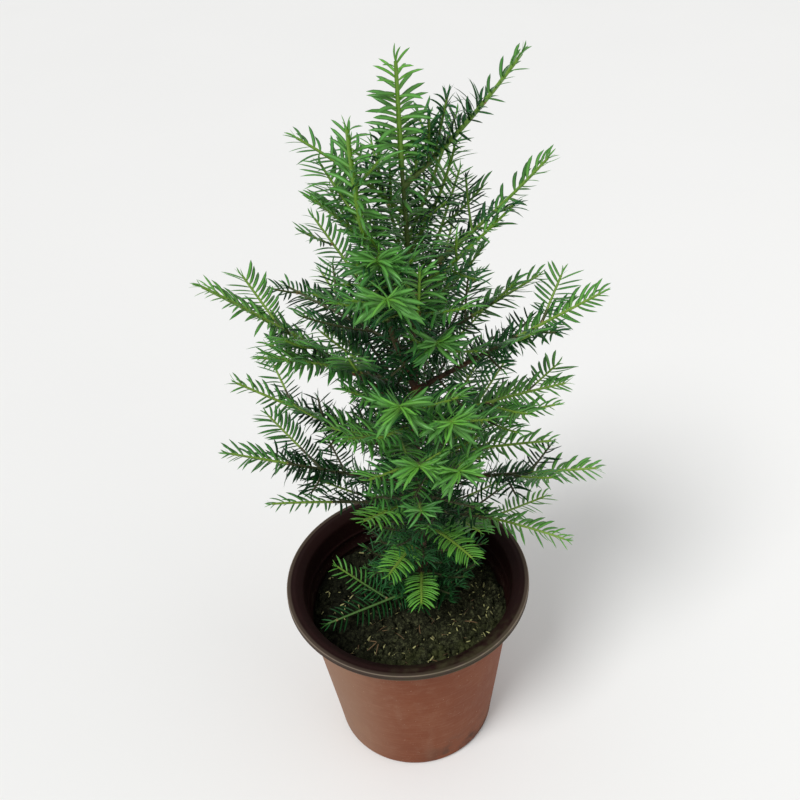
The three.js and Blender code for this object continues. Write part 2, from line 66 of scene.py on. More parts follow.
class Pot:
    """Nursery pot: tapered wall, flat floor, and a flange with a turned-down lip."""

    HEIGHT = 0.152
    FOOT_RADIUS = 0.062
    FOOT_ROUND = 0.004
    WALL_TOP_RADIUS = 0.0792
    WALL_TOP = 0.1465
    WALL = 0.0016
    FLOOR = 0.0018
    FLANGE_INNER = 0.083
    RIM_RADIUS = 0.090
    LIP_DEPTH = 0.0047
    FLANGE = 0.0019
    RINGS = (0.132, 0.1205)
    RING_DEPTH = 0.0007
    RING_HEIGHT = 0.0014
    DRAINS = 6
    DRAIN_RADIUS = 0.0045
    DRAIN_CIRCLE = 0.044


class Soil:
    """Potting soil: waves on top, and a level seat round the foot of the trunk."""

    TOP = 0.116
    BUMP = 0.0017
    SEAT = 0.015
    BLEND = 0.016
    LUMPS_PER_METRE = 60
    CLODS_PER_METRE = 210
    OPEN_FROM_TRUNK = 0.009


class Trunk:
    """Trunk: a slight lean and sway, a flared foot, and a fork at its top."""

    FOOT = (0.012, 0.010)
    LEAN = (0.0015, -0.010)
    SWAY = 0.0012
    TOP = 0.472
    TOP_RADIUS = 0.002
    GIRTH = 0.0034
    FLARE = 0.003
    FLARE_HEIGHT = 0.009
    ROD = 0.025


class Bough:
    """Boughs: round limbs, thicker the further they carry."""

    TIP_RADIUS = 0.0014
    GIRTH = 0.0013
    PER_REACH = 1 / 80


class Shoot:
    """Needle shoots, and the room that a stem keeps to other masses."""

    STEP = 0.005
    LEAN = 58
    CUP = 6
    END_NEEDLE = 0.009
    STEM = 0.0013
    TIP = 0.0007
    BARE_FOOT = 0.009
    BARE_TIP = 0.004
    NEEDLE_RADIUS = 0.0023
    STEM_GAP = 0.003
    SPACE_GAP = 0.0006
    ROD = 0.012
    ROD_START = 0.002


class Side:
    """Side shoots, which leave a stem in turn to the left and to the right."""

    FIRST = 0.013
    SPACING = 0.025
    SCATTER = 0.008
    ANGLE = 42
    ANGLE_SCATTER = 14
    TURN_UP = 0.7
    DROOP = 0.35
    SHARE = 0.5
    SHARE_SCATTER = 0.24
    EXTRA = 0.012
    LEAST = 0.021
    MOST = 0.060
    SWING = 8
    LIFT = 12
    ROOT_LENGTH = 0.004
    BARE = 0.005
    THINNER = 0.8
    FLATTER = 0.6
    STAR_OLDER = 0.1
    CUTS = (1, 0.75, 0.5)


class Twig:
    """Finer twigs, which the solids leave out: short old shoots on boughs and on the old wood."""

    FIRST = 0.008
    SPACING = 0.015
    SCATTER = 0.008
    ANGLE = 46
    ANGLE_SCATTER = 24
    TURN_UP = 1.3
    LEAST = 0.018
    MOST = 0.036
    OUTER = 0.45
    GAP = 0.0012
    BARE = 0.002
    THICK = 0.0008
    FAN = 20
    OLDER = 0.26
    AGE_SCATTER = 0.24
    FIRST_INDEX = 40


class Sprout:
    """Short dark shoots straight from the trunk, all round it and mostly low down."""

    COUNT = 120
    LOW_ONES = 2.1
    LOWEST = 0.128
    HIGHEST = 0.38
    BEARING_SCATTER = 30
    RISE = 6
    STEEPER = 46
    LEAST = 0.024
    MOST = 0.050
    SWING = 20
    LIFT = 24
    ROLL = 60
    FAN = 26
    YOUTH = 0.35
    FRESHER = 0.18
    AGE_SCATTER = 0.2
    FIRST_INDEX = 100


class Crest:
    """Dark upright twigs, close together on the inner wood of the two topmost limbs."""

    LIMBS = (5, 14)
    FIRST = 0.010
    SPACING = 0.0045
    COUNT = 4
    BEARING = 60
    APART = 110
    RISE = 88
    LOWER = 5
    ROLL = 40
    LEAST = 0.028
    MOST = 0.036
    OLDER = 0.10
    CLOSE = 2.0
    FAN = 40


@dataclass
class Limb:
    """A main limb. It leaves the trunk at height z, by its bearing from +X and its rise from level.

    Reach is its length to the last needle, bough is the bare length, fan is how far the needles
    stand out of one plane. Youth says how fresh its green is, single is the outer share of the
    shoot that has no side shoots, lush is how long and close its needles are, flush is how much
    fresher its side shoots are at their ends, stout how thick its own stem is. Tuft sets needles
    all round its old wood, and star spreads a fan of long needles at its tip.
    """

    z: float
    bearing: float
    rise: float
    reach: float
    lift: float = 0
    bough: float = 0
    fan: float = 10
    youth: float = 0.45
    single: float = 0.2
    lush: float = 1.0
    flush: float = 0
    stout: float = 1.0
    tuft: bool = False
    star: bool = False
    leader: bool = False

    @property
    def lone(self):
        """Whether it is one shoot for nearly all of its length."""
        return self.single > 0.85


# The limbs that the photo shows, each by its height, bearing, rise and reach, and what else it has.
LIMBS = [
    Limb(0.300, 190, 50, 0.174, lift=-10, bough=0.074, youth=0.60, single=0.4, lush=1.05,
         stout=1.2),
    Limb(0.325, 215, 70, 0.189, lift=20, bough=0.084, fan=30, youth=0.56, single=0.3, lush=1.35,
         stout=1.6),
    Limb(0.260, 180, 34, 0.141, bough=0.048, youth=0.48, single=0.3, lush=0.8, tuft=True),
    Limb(0.235, 190, 26, 0.142, bough=0.050, youth=0.46, single=0.5, lush=1.1, tuft=True),
    Limb(0.462, 2, 40, 0.100, lift=14, bough=0.026, fan=20, youth=0.46, single=0.9, lush=0.9,
         stout=1.2, tuft=True),
    Limb(0.400, 0, 38, 0.114, lift=10, bough=0.034, youth=0.50, single=0.55, lush=0.95),
    Limb(0.320, 350, 34, 0.142, bough=0.052, youth=0.54, single=0.35, lush=1.05, tuft=True),
    Limb(0.240, 350, 9, 0.130, bough=0.050, youth=0.52, single=0.65, lush=1.0, tuft=True),
    Limb(0.318, 208, 44, 0.124, lift=-20, youth=0.52, lush=1.15),
    Limb(0.215, 205, 32, 0.124, lift=-10, youth=0.44, single=0.8, lush=0.7),
    Limb(0.350, 150, 17, 0.102, youth=0.34, lush=1.05),
    Limb(0.290, 350, 27, 0.111, lift=-10, youth=0.56, lush=1.1),
    Limb(0.400, 195, 56, 0.089, lift=-10, youth=0.54, lush=1.4),
    Limb(0.445, 165, 43, 0.080, lift=-15, youth=0.50, single=0.8, lush=0.85),
    Limb(0.386, 340, 49, 0.094, youth=0.54, single=0.4, lush=0.95),
    Limb(0.420, 30, 45, 0.073, lift=30, fan=20, youth=0.60, single=0.8, lush=1.3),
    Limb(0.350, 10, 27, 0.097, youth=0.50, single=0.3, lush=1.1),
    Limb(0.275, 345, 30, 0.108, lift=-10, youth=0.52, single=0.35, lush=0.7),
    Limb(0.260, 345, 22, 0.102, lift=-10, youth=0.56, single=0.6, lush=0.75),
    Limb(0.215, 335, 11, 0.114, lift=-20, youth=0.68, single=0.5, lush=0.9),
    Limb(0.376, 260, 36, 0.107, lift=5, fan=40, youth=0.60, lush=1.1, star=True),
    Limb(0.392, 250, 43, 0.079, lift=5, fan=40, youth=0.52, lush=1.15, star=True),
    Limb(0.366, 275, 36, 0.096, lift=40, fan=25, youth=0.56, lush=1.1),
    Limb(0.306, 263, 34, 0.109, lift=10, fan=40, youth=0.66, lush=1.15, star=True),
    Limb(0.300, 283, 30, 0.107, lift=10, fan=40, youth=0.62, star=True),
    Limb(0.350, 285, 34, 0.071, lift=10, fan=30, youth=0.54, star=True),
    Limb(0.268, 270, 31, 0.106, lift=10, fan=35, youth=0.68, star=True),
    Limb(0.262, 286, 30, 0.109, lift=10, fan=35, youth=0.64, star=True),
    Limb(0.284, 231, 32, 0.085, fan=25, youth=0.60, lush=1.15),
    Limb(0.236, 270, 29, 0.105, lift=10, fan=40, youth=0.43, single=0.5, lush=0.65, star=True),
    Limb(0.222, 235, 28, 0.079, youth=0.84, single=0.7, lush=1.15),
    Limb(0.178, 246, 32, 0.069, lift=-20, youth=0.88, single=1, lush=1.45),
    Limb(0.198, 303, 27, 0.071, lift=-30, youth=0.92, single=1, lush=1.45),
    Limb(0.150, 267, 33, 0.063, lift=-30, youth=0.92, single=1, lush=1.45),
    Limb(0.128, 205, 3, 0.088, youth=0.28, single=0.45, lush=0.7, flush=0.75),
    Limb(0.212, 312, 28, 0.087, fan=20, youth=0.36, single=0.5, lush=0.8),
]


class FarSide:
    """Limbs of the far side climb the trunk, turn from side to side and rise more steeply."""

    COUNT = 12
    LOWEST = 0.158
    CLIMB = 0.0245
    MIDDLE = 90
    TURN = 50
    RISE = 16
    STEEPER = 32
    REACH = 0.076
    SWELL = 0.048
    LEAST_TURN = 0.2
    LIFT = 6
    YOUTH = 0.42
    FRESHER = 0.06
    LUSH = (0.8, 0.95)


LEADER = Limb(
    z=Trunk.TOP, bearing=270, rise=88, lift=-3, reach=0.067, fan=45, youth=0.70, single=0.8,
    lush=1.3, stout=1.35, leader=True)
LIMB_ROLL = 8
LIMB_ROLL_STEP = 2.1
GOLDEN = 0.618
GOLDEN_TURN = math.radians(137.5)

# Mass and shoot of the rods that stand for the trunk.
TRUNK_WOOD = (0, -1)

# Factor and start of each kind of growth's scatter, which differs from mass to mass.
SEEDS = {
    "sides": (7919, 17),
    "twigs": (6007, 29),
    "needles": (4409, 11),
    "scales": (997, 3),
    "sprouts": (0, 4801),
    "trunk": (0, 5003),
}

# Part of a shoot that is last year's growth: less on a fresher shoot, and on a side shoot.
OLD_SHARE = (1.0, 0.7, 0)


def scatter_of(growth, index=0):
    """Endless scatter from 0 to 1. For side shoots it is the same as in the solids."""
    factor, start = SEEDS[growth]
    state = index * factor + start
    while True:
        state = (state * 1664525 + 1013904223) & 0xFFFFFFFF
        yield state / 4294967296


def lerp(low, high, share):
    return low + (high - low) * share


def clamp(value, low=0.0, high=1.0):
    return min(max(value, low), high)


def unit(vector):
    return vector / np.linalg.norm(vector)


def toward(first, second, angle):
    """The first of two square directions, turned towards the second."""
    return first * math.cos(angle) + second * math.sin(angle)


def cross(a, b):
    """Cross product of two plain vectors, quicker than the general one."""
    return np.array((
        a[1] * b[2] - a[2] * b[1],
        a[2] * b[0] - a[0] * b[2],
        a[0] * b[1] - a[1] * b[0],
    ))


def outer_radius(z):
    share = (z - Pot.FOOT_ROUND) / (Pot.WALL_TOP - Pot.FOOT_ROUND)
    return lerp(Pot.FOOT_RADIUS, Pot.WALL_TOP_RADIUS, share)


def inner_radius(z):
    return outer_radius(min(z, Pot.WALL_TOP)) - Pot.WALL


def soil_height(x, y):
    away = math.hypot(x - Trunk.FOOT[0], y - Trunk.FOOT[1]) - Soil.SEAT
    waves = math.sin(110 * x + 0.7) * math.cos(130 * y) + 0.6 * math.sin(230 * (x - y))
    return Soil.TOP + Soil.BUMP * clamp(away / Soil.BLEND) * waves


def trunk_axis(z):
    share = (z - Soil.TOP) / (Trunk.TOP - Soil.TOP)
    sway = Trunk.SWAY * math.sin(2 * math.pi * share)
    x = Trunk.FOOT[0] + Trunk.LEAN[0] * share - sway
    y = Trunk.FOOT[1] + Trunk.LEAN[1] * share
    return np.array((x, y, z))


def trunk_radius(z):
    share = clamp((z - Soil.TOP) / (Trunk.TOP - Soil.TOP))
    flare = Trunk.FLARE * math.exp(-max(z - Soil.TOP, 0) / Trunk.FLARE_HEIGHT)
    return Trunk.TOP_RADIUS + Trunk.GIRTH * (1 - share) ** 0.9 + flare


class Turn(NamedTuple):
    """First direction of a stem, how far it swings and lifts along the way, and its roll."""

    bearing: float
    rise: float
    swing: float = 0
    lift: float = 0
    roll: float = 0


class Stem:
    """A stem that grows from a start point. Its heading turns evenly along its length."""

    def __init__(self, start, turn, length):
        self.turn = turn
        self.length = length
        steps = math.ceil(length / Shoot.STEP - 1e-9)
        self.step = length / steps
        points = [np.array(start, float)]
        for i in range(steps):
            points.append(points[-1] + self.heading((i + 0.5) * self.step) * self.step)
        self.points = np.array(points)

    def angles(self, along):
        share = clamp(along / self.length)
        bearing = self.turn.bearing + self.turn.swing * share
        rise = self.turn.rise + self.turn.lift * share
        return math.radians(bearing), math.radians(rise)

    def heading(self, along):
        bearing, rise = self.angles(along)
        level = math.cos(rise)
        return np.array((math.cos(bearing) * level, math.sin(bearing) * level, math.sin(rise)))

    def point(self, along):
        place = clamp(along / self.step, 0, len(self.points) - 1.0001)
        index = int(place)
        return lerp(self.points[index], self.points[index + 1], place - index)

    def frame(self, along):
        """Directions ahead, to the left, and up out of the plane of the needles."""
        bearing, _ = self.angles(along)
        ahead = self.heading(along)
        level = np.array((-math.sin(bearing), math.cos(bearing), 0))
        roll = math.radians(self.turn.roll)
        left = toward(level, cross(ahead, level), roll)
        return ahead, left, cross(ahead, left)


def bough_radius(limb, along):
    foot = Bough.GIRTH + limb.reach * Bough.PER_REACH
    return lerp(foot, Bough.TIP_RADIUS, clamp(along / limb.bough))


class Space:
    """Room that limbs and stems take in the crown, as round-ended rods."""

    MOST = 6000
    PARALLEL = 1e-21

    def __init__(self):
        self.count = 0
        self.start, self.end = np.zeros((2, self.MOST, 3))
        self.radius, self.mass, self.shoot = np.zeros((3, self.MOST))

    def add(self, start, end, radius, mass, shoot):
        i = self.count
        self.start[i], self.end[i] = start, end
        self.radius[i], self.mass[i], self.shoot[i] = radius, mass, shoot
        self.count += 1

    def gaps(self, start, end):
        """Distance from one rod's line to each kept rod's line."""
        c = self.start[:self.count]
        u = end - start
        v = self.end[:self.count] - c
        w = start - c
        uu = u @ u
        vv = np.einsum("ij,ij->i", v, v)
        uv = v @ u
        uw = w @ u
        vw = np.einsum("ij,ij->i", v, w)
        spread = uu * vv - uv * uv
        cross_over = spread > self.PARALLEL
        safe = np.where(cross_over, spread, 1)
        first = np.where(cross_over, np.clip((uv * vw - vv * uw) / safe, 0, 1), 0)
        second = np.clip((uv * first + vw) / vv, 0, 1)
        on_first = np.clip((uv * second - uw) / uu, 0, 1)
        near = w + u * on_first[:, None] - v * second[:, None]
        return np.sqrt(np.einsum("ij,ij->i", near, near))

    def is_clear(self, start, end, radius, mass, parent, gap):
        """Whether a rod is clear of every other one but its own mass's parent shoot."""
        own = (self.mass[:self.count] == mass) & (self.shoot[:self.count] == parent)
        need = radius + self.radius[:self.count] + gap
        return bool(np.all(own | (self.gaps(start, end) > need)))


def clear_of_pot(point, radius):
    """Whether a point stands clear of the soil and of the pot's wall and rim."""
    low = point[2] - radius
    if low < soil_height(point[0], point[1]) + Shoot.SPACE_GAP:
        return False
    across = math.hypot(point[0], point[1]) + radius
    return low > Pot.HEIGHT + Shoot.SPACE_GAP or across < inner_radius(point[2]) - Shoot.SPACE_GAP


@dataclass
class Spray:
    """One shoot with its own stem. Order 0 is a limb's main shoot, 1 a side shoot, 2 a twig.

    Root is how far along the main shoot it starts. Node is the solid that it stands for. Close
    is how many times closer than usual its needles are.
    """

    stem: Stem
    mass: int
    index: int
    start: float
    first_needle: float
    thick: float
    fan: float
    order: int
    youth: float
    node: str
    root: float = 0
    flush: float = 0
    close: float = 1.0
    star: bool = False

    @property
    def end(self):
        return self.stem.length - (0.5 if self.order == 2 else 1) * Shoot.END_NEEDLE

    @property
    def leads(self):
        return self.node == "foliage_leader"

    @property
    def owner(self):
        """Whose room its needles may stand in, and the solid that they stand for."""
        return self.mass, self.index, self.node

    @property
    def joint(self):
        """Where this year's growth starts."""
        old = OLD_SHARE[self.order] * clamp(1.9 - 3 * self.youth, 0.6 if self.star else 0.04, 0.9)
        return self.first_needle + old * (self.end - self.first_needle)


@dataclass
class Mass:
    """A limb's foliage: its main shoot first, then the side shoots and twigs."""

    index: int
    limb: Limb
    sprays: list = field(default_factory=list)

    @property
    def node(self):
        return "foliage_leader" if self.limb.leader else f"foliage_{self.index:02d}"


def rods_along(stem, start, end, radius, mass, shoot):
    """Rods that stand for a stretch of a stem."""
    count = max(1, math.floor((end - start) / Shoot.ROD + 0.5))
    stops = [stem.point(lerp(start, end, i / count)) for i in range(count + 1)]
    return [(a, b, radius, mass, shoot) for a, b in zip(stops, stops[1:])]


def stem_thickness(spray, along):
    share = clamp((along - spray.start) / (spray.stem.length - spray.start))
    return lerp(spray.thick, Shoot.TIP, share)


def side_turn(stem, along, hand, angle, turn_up):
    """First direction of a side shoot, from the stem that it leaves."""
    ahead, left, up = stem.frame(along)
    direction = unit(toward(ahead, left * hand, angle) + up * turn_up)
    bearing = math.degrees(math.atan2(direction[1], direction[0]))
    rise = math.degrees(math.asin(direction[2]))
    return Turn(bearing, rise, -Side.SWING * hand, Side.LIFT, stem.turn.roll)


def claim(space, span, parent, gap):
    """Takes room for a shoot's rods, where all are clear of the pot and of other stems."""
    clear = all(
        clear_of_pot(rod[1], Shoot.NEEDLE_RADIUS) and space.is_clear(*rod[:3], *parent, gap)
        for rod in span)
    if clear:
        for rod in span:
            space.add(*rod)
    return clear


def add_side_shoot(mass, space, along, turn, full):
    """Adds a side shoot at the greatest length that keeps clear, or leaves it out."""
    main = mass.sprays[0]
    index = len(mass.sprays)
    for cut in Side.CUTS:
        length = cut * full
        if length < Side.LEAST:
            continue
        stem = Stem(main.stem.point(along), turn, length)
        end = length - Shoot.END_NEEDLE
        span = rods_along(stem, Side.ROOT_LENGTH, end, Shoot.STEM, mass.index, index)
        if claim(space, span, (mass.index, 0), Shoot.STEM_GAP):
            mass.sprays.append(Spray(
                stem=stem, mass=mass.index, index=index, node=mass.node, order=1, start=0,
                first_needle=Side.BARE, thick=stem_thickness(main, along) * Side.THINNER,
                fan=main.fan * Side.FLATTER, root=along, flush=mass.limb.flush,
                youth=mass.limb.youth - (Side.STAR_OLDER if mass.limb.star else 0),
            ))
            return


def grow_sides(mass, space):
    draw = scatter_of("sides", mass.index)
    main = mass.sprays[0]
    hand = 1 if next(draw) < 0.5 else -1
    along = main.first_needle + Side.FIRST + Side.SCATTER * (next(draw) - 0.5)
    while along < main.end:
        angle = math.radians(Side.ANGLE + Side.ANGLE_SCATTER * next(draw))
        share = Side.SHARE + Side.SHARE_SCATTER * next(draw)
        turn_up = Side.TURN_UP * (next(draw) - Side.DROOP)
        full = min(Side.MOST, (main.stem.length - along) * share + Side.EXTRA)
        turn = side_turn(main.stem, along, hand, angle, turn_up)
        add_side_shoot(mass, space, along, turn, full)
        hand = -hand
        along += Side.SPACING + Side.SCATTER * (next(draw) - 0.5)


def add_twig(mass, space, stem, start, parent, fan, youth, node, close=1.0):
    """Adds a fine twig where there is room for its stem. Parent is the rods that it grows from."""
    index = len(mass.sprays) + Twig.FIRST_INDEX
    end = stem.length - 0.5 * Shoot.END_NEEDLE
    span = rods_along(stem, start + Twig.BARE, end, Twig.THICK, mass.index, index)
    if claim(space, span, parent, Twig.GAP):
        mass.sprays.append(Spray(
            stem=stem, mass=mass.index, index=index, node=node, order=2, start=start,
            first_needle=start + Twig.BARE, thick=Twig.THICK, fan=fan, youth=youth, close=close,
        ))


def grow_twigs(mass, space):
    """Carries the mass on to finer twigs, on its bough and on the old wood of its main shoot."""
    if mass.limb.lone:
        return
    draw = scatter_of("twigs", mass.index)
    main = mass.sprays[0]
    hand = 1 if next(draw) < 0.5 else -1
    along = trunk_radius(mass.limb.z) + Twig.FIRST + Twig.SCATTER * next(draw)
    outer = main.first_needle + Twig.OUTER * (main.end - main.first_needle)
    while along < (main.first_needle if mass.limb.leader else outer):
        angle = math.radians(Twig.ANGLE + Twig.ANGLE_SCATTER * next(draw))
        turn = side_turn(main.stem, along, hand, angle, Twig.TURN_UP * (next(draw) - 0.5))
        stem = Stem(main.stem.point(along), turn, lerp(Twig.LEAST, Twig.MOST, next(draw)))
        start = bough_radius(mass.limb, along) if along < mass.limb.bough else 0
        youth = mass.limb.youth - Twig.OLDER + Twig.AGE_SCATTER * (next(draw) - 0.5)
        add_twig(mass, space, stem, start, (mass.index, 0), Twig.FAN, youth, mass.node)
        hand = -hand
        along += Twig.SPACING + Twig.SCATTER * next(draw)


def grow_crest(mass, space):
    """Sets a close group of upright twigs on the limb's inner wood."""
    for i in range(Crest.COUNT):
        along = Crest.FIRST + Crest.SPACING * i
        turn = Turn(
            Crest.BEARING + Crest.APART * i, Crest.RISE - Crest.LOWER * i, roll=Crest.ROLL * i)
        reach = lerp(Crest.LEAST, Crest.MOST, (i * GOLDEN) % 1)
        stem = Stem(mass.sprays[0].stem.point(along), turn, reach)
        start = bough_radius(mass.limb, along) if along < mass.limb.bough else 0
        add_twig(
            mass, space, stem, start, (mass.index, 0), Crest.FAN, mass.limb.youth - Crest.OLDER,
            mass.node, Crest.CLOSE)


def grow_sprouts(space):
    """Masses of one short shoot each, from the trunk's own wood."""
    draw = scatter_of("sprouts")
    for i in range(Sprout.COUNT):
        share = ((i + next(draw)) / Sprout.COUNT) ** Sprout.LOW_ONES
        limb = Limb(
            z=lerp(Sprout.LOWEST, Sprout.HIGHEST, share),
            bearing=360 * ((i * GOLDEN) % 1) + Sprout.BEARING_SCATTER * (next(draw) - 0.5),
            rise=Sprout.RISE + Sprout.STEEPER * (0.5 * share + 0.5 * next(draw)),
            reach=lerp(Sprout.LEAST, Sprout.MOST, next(draw)),
        )
        swing = Sprout.SWING * (next(draw) - 0.5)
        roll = Sprout.ROLL * (next(draw) - 0.5)
        turn = Turn(limb.bearing, limb.rise, swing, Sprout.LIFT, roll)
        start = trunk_radius(limb.z)
        stem = Stem(trunk_axis(limb.z), turn, limb.reach + start)
        mass = Mass(Sprout.FIRST_INDEX + i, limb)
        youth = Sprout.YOUTH + Sprout.FRESHER * share + Sprout.AGE_SCATTER * (next(draw) - 0.5)
        add_twig(mass, space, stem, start, TRUNK_WOOD, Sprout.FAN, youth, "trunk")
        if mass.sprays:
            yield mass


def far_side_limbs():
    for i in range(FarSide.COUNT):
        share = i / (FarSide.COUNT - 1)
        side = 1 if i % 2 == 0 else -1
        turn = FarSide.TURN * lerp(FarSide.LEAST_TURN, 1, i * GOLDEN % 1)
        yield Limb(
            z=FarSide.LOWEST + FarSide.CLIMB * i,
            bearing=FarSide.MIDDLE + side * turn,
            rise=FarSide.RISE + FarSide.STEEPER * share,
            lift=FarSide.LIFT,
            reach=FarSide.REACH + FarSide.SWELL * math.sin(math.pi * (0.3 + 0.65 * share)),
            youth=FarSide.YOUTH + FarSide.FRESHER * share,
            lush=lerp(*FarSide.LUSH, share),
        )


def start_mass(index, limb, space):
    """The main shoot starts beyond the bough's tip or the trunk's, or else inside the trunk."""
    roll = LIMB_ROLL * math.sin(index * LIMB_ROLL_STEP)
    turn = Turn(limb.bearing, limb.rise, lift=limb.lift, roll=roll)
    stem = Stem(trunk_axis(limb.z), turn, limb.reach)
    carried = limb.bough > 0 or limb.leader
    foot = limb.bough if carried else trunk_radius(limb.z)
    if limb.bough > 0:
        stops = (trunk_radius(limb.z) + Shoot.ROD_START, limb.bough / 2, limb.bough)
        for low, high, share in zip(stops, stops[1:], (0.25, 0.75)):
            radius = bough_radius(limb, share * limb.bough)
            space.add(stem.point(low), stem.point(high), radius, index, 0)
    end = stem.length - Shoot.END_NEEDLE
    for rod in rods_along(stem, foot + Shoot.ROD_START, end, Shoot.STEM, index, 0):
        space.add(*rod)
    mass = Mass(index, limb)
    mass.sprays.append(Spray(
        stem=stem, mass=index, index=0, node=mass.node, order=0, start=limb.bough if carried else 0,
        first_needle=foot + (Shoot.BARE_TIP if carried else Shoot.BARE_FOOT),
        thick=Shoot.STEM, fan=limb.fan, youth=limb.youth, star=limb.star,
    ))
    return mass


def thin_out(mass):
    """Leaves out the side shoots near the limb's tip, so that it ends as one slim shoot."""
    main = mass.sprays[0]
    last = main.stem.length - mass.limb.single * (main.stem.length - main.first_needle)
    mass.sprays = [spray for spray in mass.sprays if spray.root < last]


@lru_cache
def grown_crown():
    """Every mass of the crown with its sprays, and the room that they take."""
    space = Space()
    z = Soil.TOP
    while z < Trunk.TOP - 1e-9:
        top = min(z + Trunk.ROD, Trunk.TOP)
        space.add(trunk_axis(z), trunk_axis(top), trunk_radius((z + top) / 2), *TRUNK_WOOD)
        z += Trunk.ROD
    limbs = [*LIMBS, *far_side_limbs(), LEADER]
    masses = [start_mass(i + 1, limb, space) for i, limb in enumerate(limbs)]
    for mass in masses:
        grow_sides(mass, space)
    for mass in masses:
        thin_out(mass)
        grow_twigs(mass, space)
        if mass.index in Crest.LIMBS:
            grow_crest(mass, space)
    return [*masses, *grow_sprouts(space)], space


# Node trees written as expressions


class Value:
    """A socket whose arithmetic adds Math nodes to its tree."""

    def __init__(self, board, socket):
        self.board = board
        self.socket = socket

    def math(self, operation, *values):
        return self.board.node("ShaderNodeMath", {"operation": operation}, values)

    def __add__(self, other):
        return self.math("ADD", self, other)

    def __radd__(self, other):
        return self.math("ADD", other, self)

    def __sub__(self, other):
        return self.math("SUBTRACT", self, other)

    def __rsub__(self, other):
        return self.math("SUBTRACT", other, self)

    def __mul__(self, other):
        return self.math("MULTIPLY", self, other)

    def __rmul__(self, other):
        return self.math("MULTIPLY", other, self)

    def __truediv__(self, other):
        return self.math("DIVIDE", self, other)

    def __rtruediv__(self, other):
        return self.math("DIVIDE", other, self)

    def __pow__(self, other):
        return self.math("POWER", self, other)

    def __neg__(self):
        return self.math("MULTIPLY", self, -1.0)

    def limit(self):
        """The value kept between 0 and 1."""
        return self.board.node("ShaderNodeClamp", {}, [self, 0.0, 1.0])

    def ramp(self, low, high):
        """0 up to low, 1 from high, and a smooth rise between them."""
        settings = {"interpolation_type": "SMOOTHSTEP"}
        return self.board.node("ShaderNodeMapRange", settings, [self, low, high, 0.0, 1.0])

    def output(self, name):
        """Another output of the same node."""
        return Value(self.board, self.socket.node.outputs[name])


class Board:
    """A node tree under construction, for a material or for geometry."""

    def __init__(self, tree):
        self.tree = tree

    def node(self, kind, settings=None, inputs=None, output=0):
        """Adds a node, sets it up, and feeds its sockets with values or with links."""
        made = self.tree.nodes.new(kind)
        for name, value in (settings or {}).items():
            setattr(made, name, value)
        feeds = inputs.items() if isinstance(inputs, dict) else enumerate(inputs or ())
        for name, feed in feeds:
            for value in feed if isinstance(feed, list) else [feed]:
                if isinstance(value, Value):
                    self.tree.links.new(value.socket, made.inputs[name])
                else:
                    made.inputs[name].default_value = value
        return Value(self, made.outputs[output])

    def mix(self, share, low, high):
        """A colour between two colours."""
        feeds = {0: share, 6: colour(low), 7: colour(high)}
        return self.node("ShaderNodeMix", {"data_type": "RGBA"}, feeds, 2)

    def coats(self, body, *layers):
        """Lays colours over a body, each by its share."""
        for share, tone in layers:
            body = self.mix(share, body, tone)
        return body

    def shade(self, share, base, low, high):
        """One colour, from darker to lighter."""
        return self.mix(share, tinted(base, low), tinted(base, high))

    def parts(self, vector):
        """X, Y and Z of a vector."""
        x = self.node("ShaderNodeSeparateXYZ", {}, [vector])
        return x, x.output("Y"), x.output("Z")

    def vector(self, operation, *values, output=0):
        return self.node("ShaderNodeVectorMath", {"operation": operation}, values, output)

    def noise(self, place, scale, detail=3.0, roughness=0.5):
        feeds = {"Vector": place, "Scale": scale, "Detail": detail, "Roughness": roughness}
        return self.node("ShaderNodeTexNoise", {}, feeds)

    def bump(self, height, strength, distance, normal=None):
        feeds = {"Height": height, "Strength": strength, "Distance": distance}
        if normal:
            feeds["Normal"] = normal
        return self.node("ShaderNodeBump", {}, feeds)


def colour(value):
    """A plain colour gets its alpha, a socket stays as it is."""
    return value if isinstance(value, Value) else (*value, 1.0)


def tinted(base, factor):
    """A plain colour made lighter or darker."""
    return tuple(clamp(channel * factor) for channel in base)


class Material(Board):
    """A material with one Principled shader."""

    def __init__(self, name, **constants):
        self.material = bpy.data.materials.new(name)
        self.material.use_nodes = True
        super().__init__(self.material.node_tree)
        self.shader = self.tree.nodes["Principled BSDF"]
        for socket, value in constants.items():
            self.shader.inputs[socket.replace("_", " ")].default_value = value

    def place(self):
        return self.node("ShaderNodeTexCoord", {}, output="Object")

    def attribute(self, name):
        return self.node("ShaderNodeAttribute", {"attribute_name": name}, output="Fac")

    def feed(self, **sources):
        """Joins what varies over the surface to the shader."""
        for socket, source in sources.items():
            self.tree.links.new(source.socket, self.shader.inputs[socket.replace("_", " ")])
        return self.material


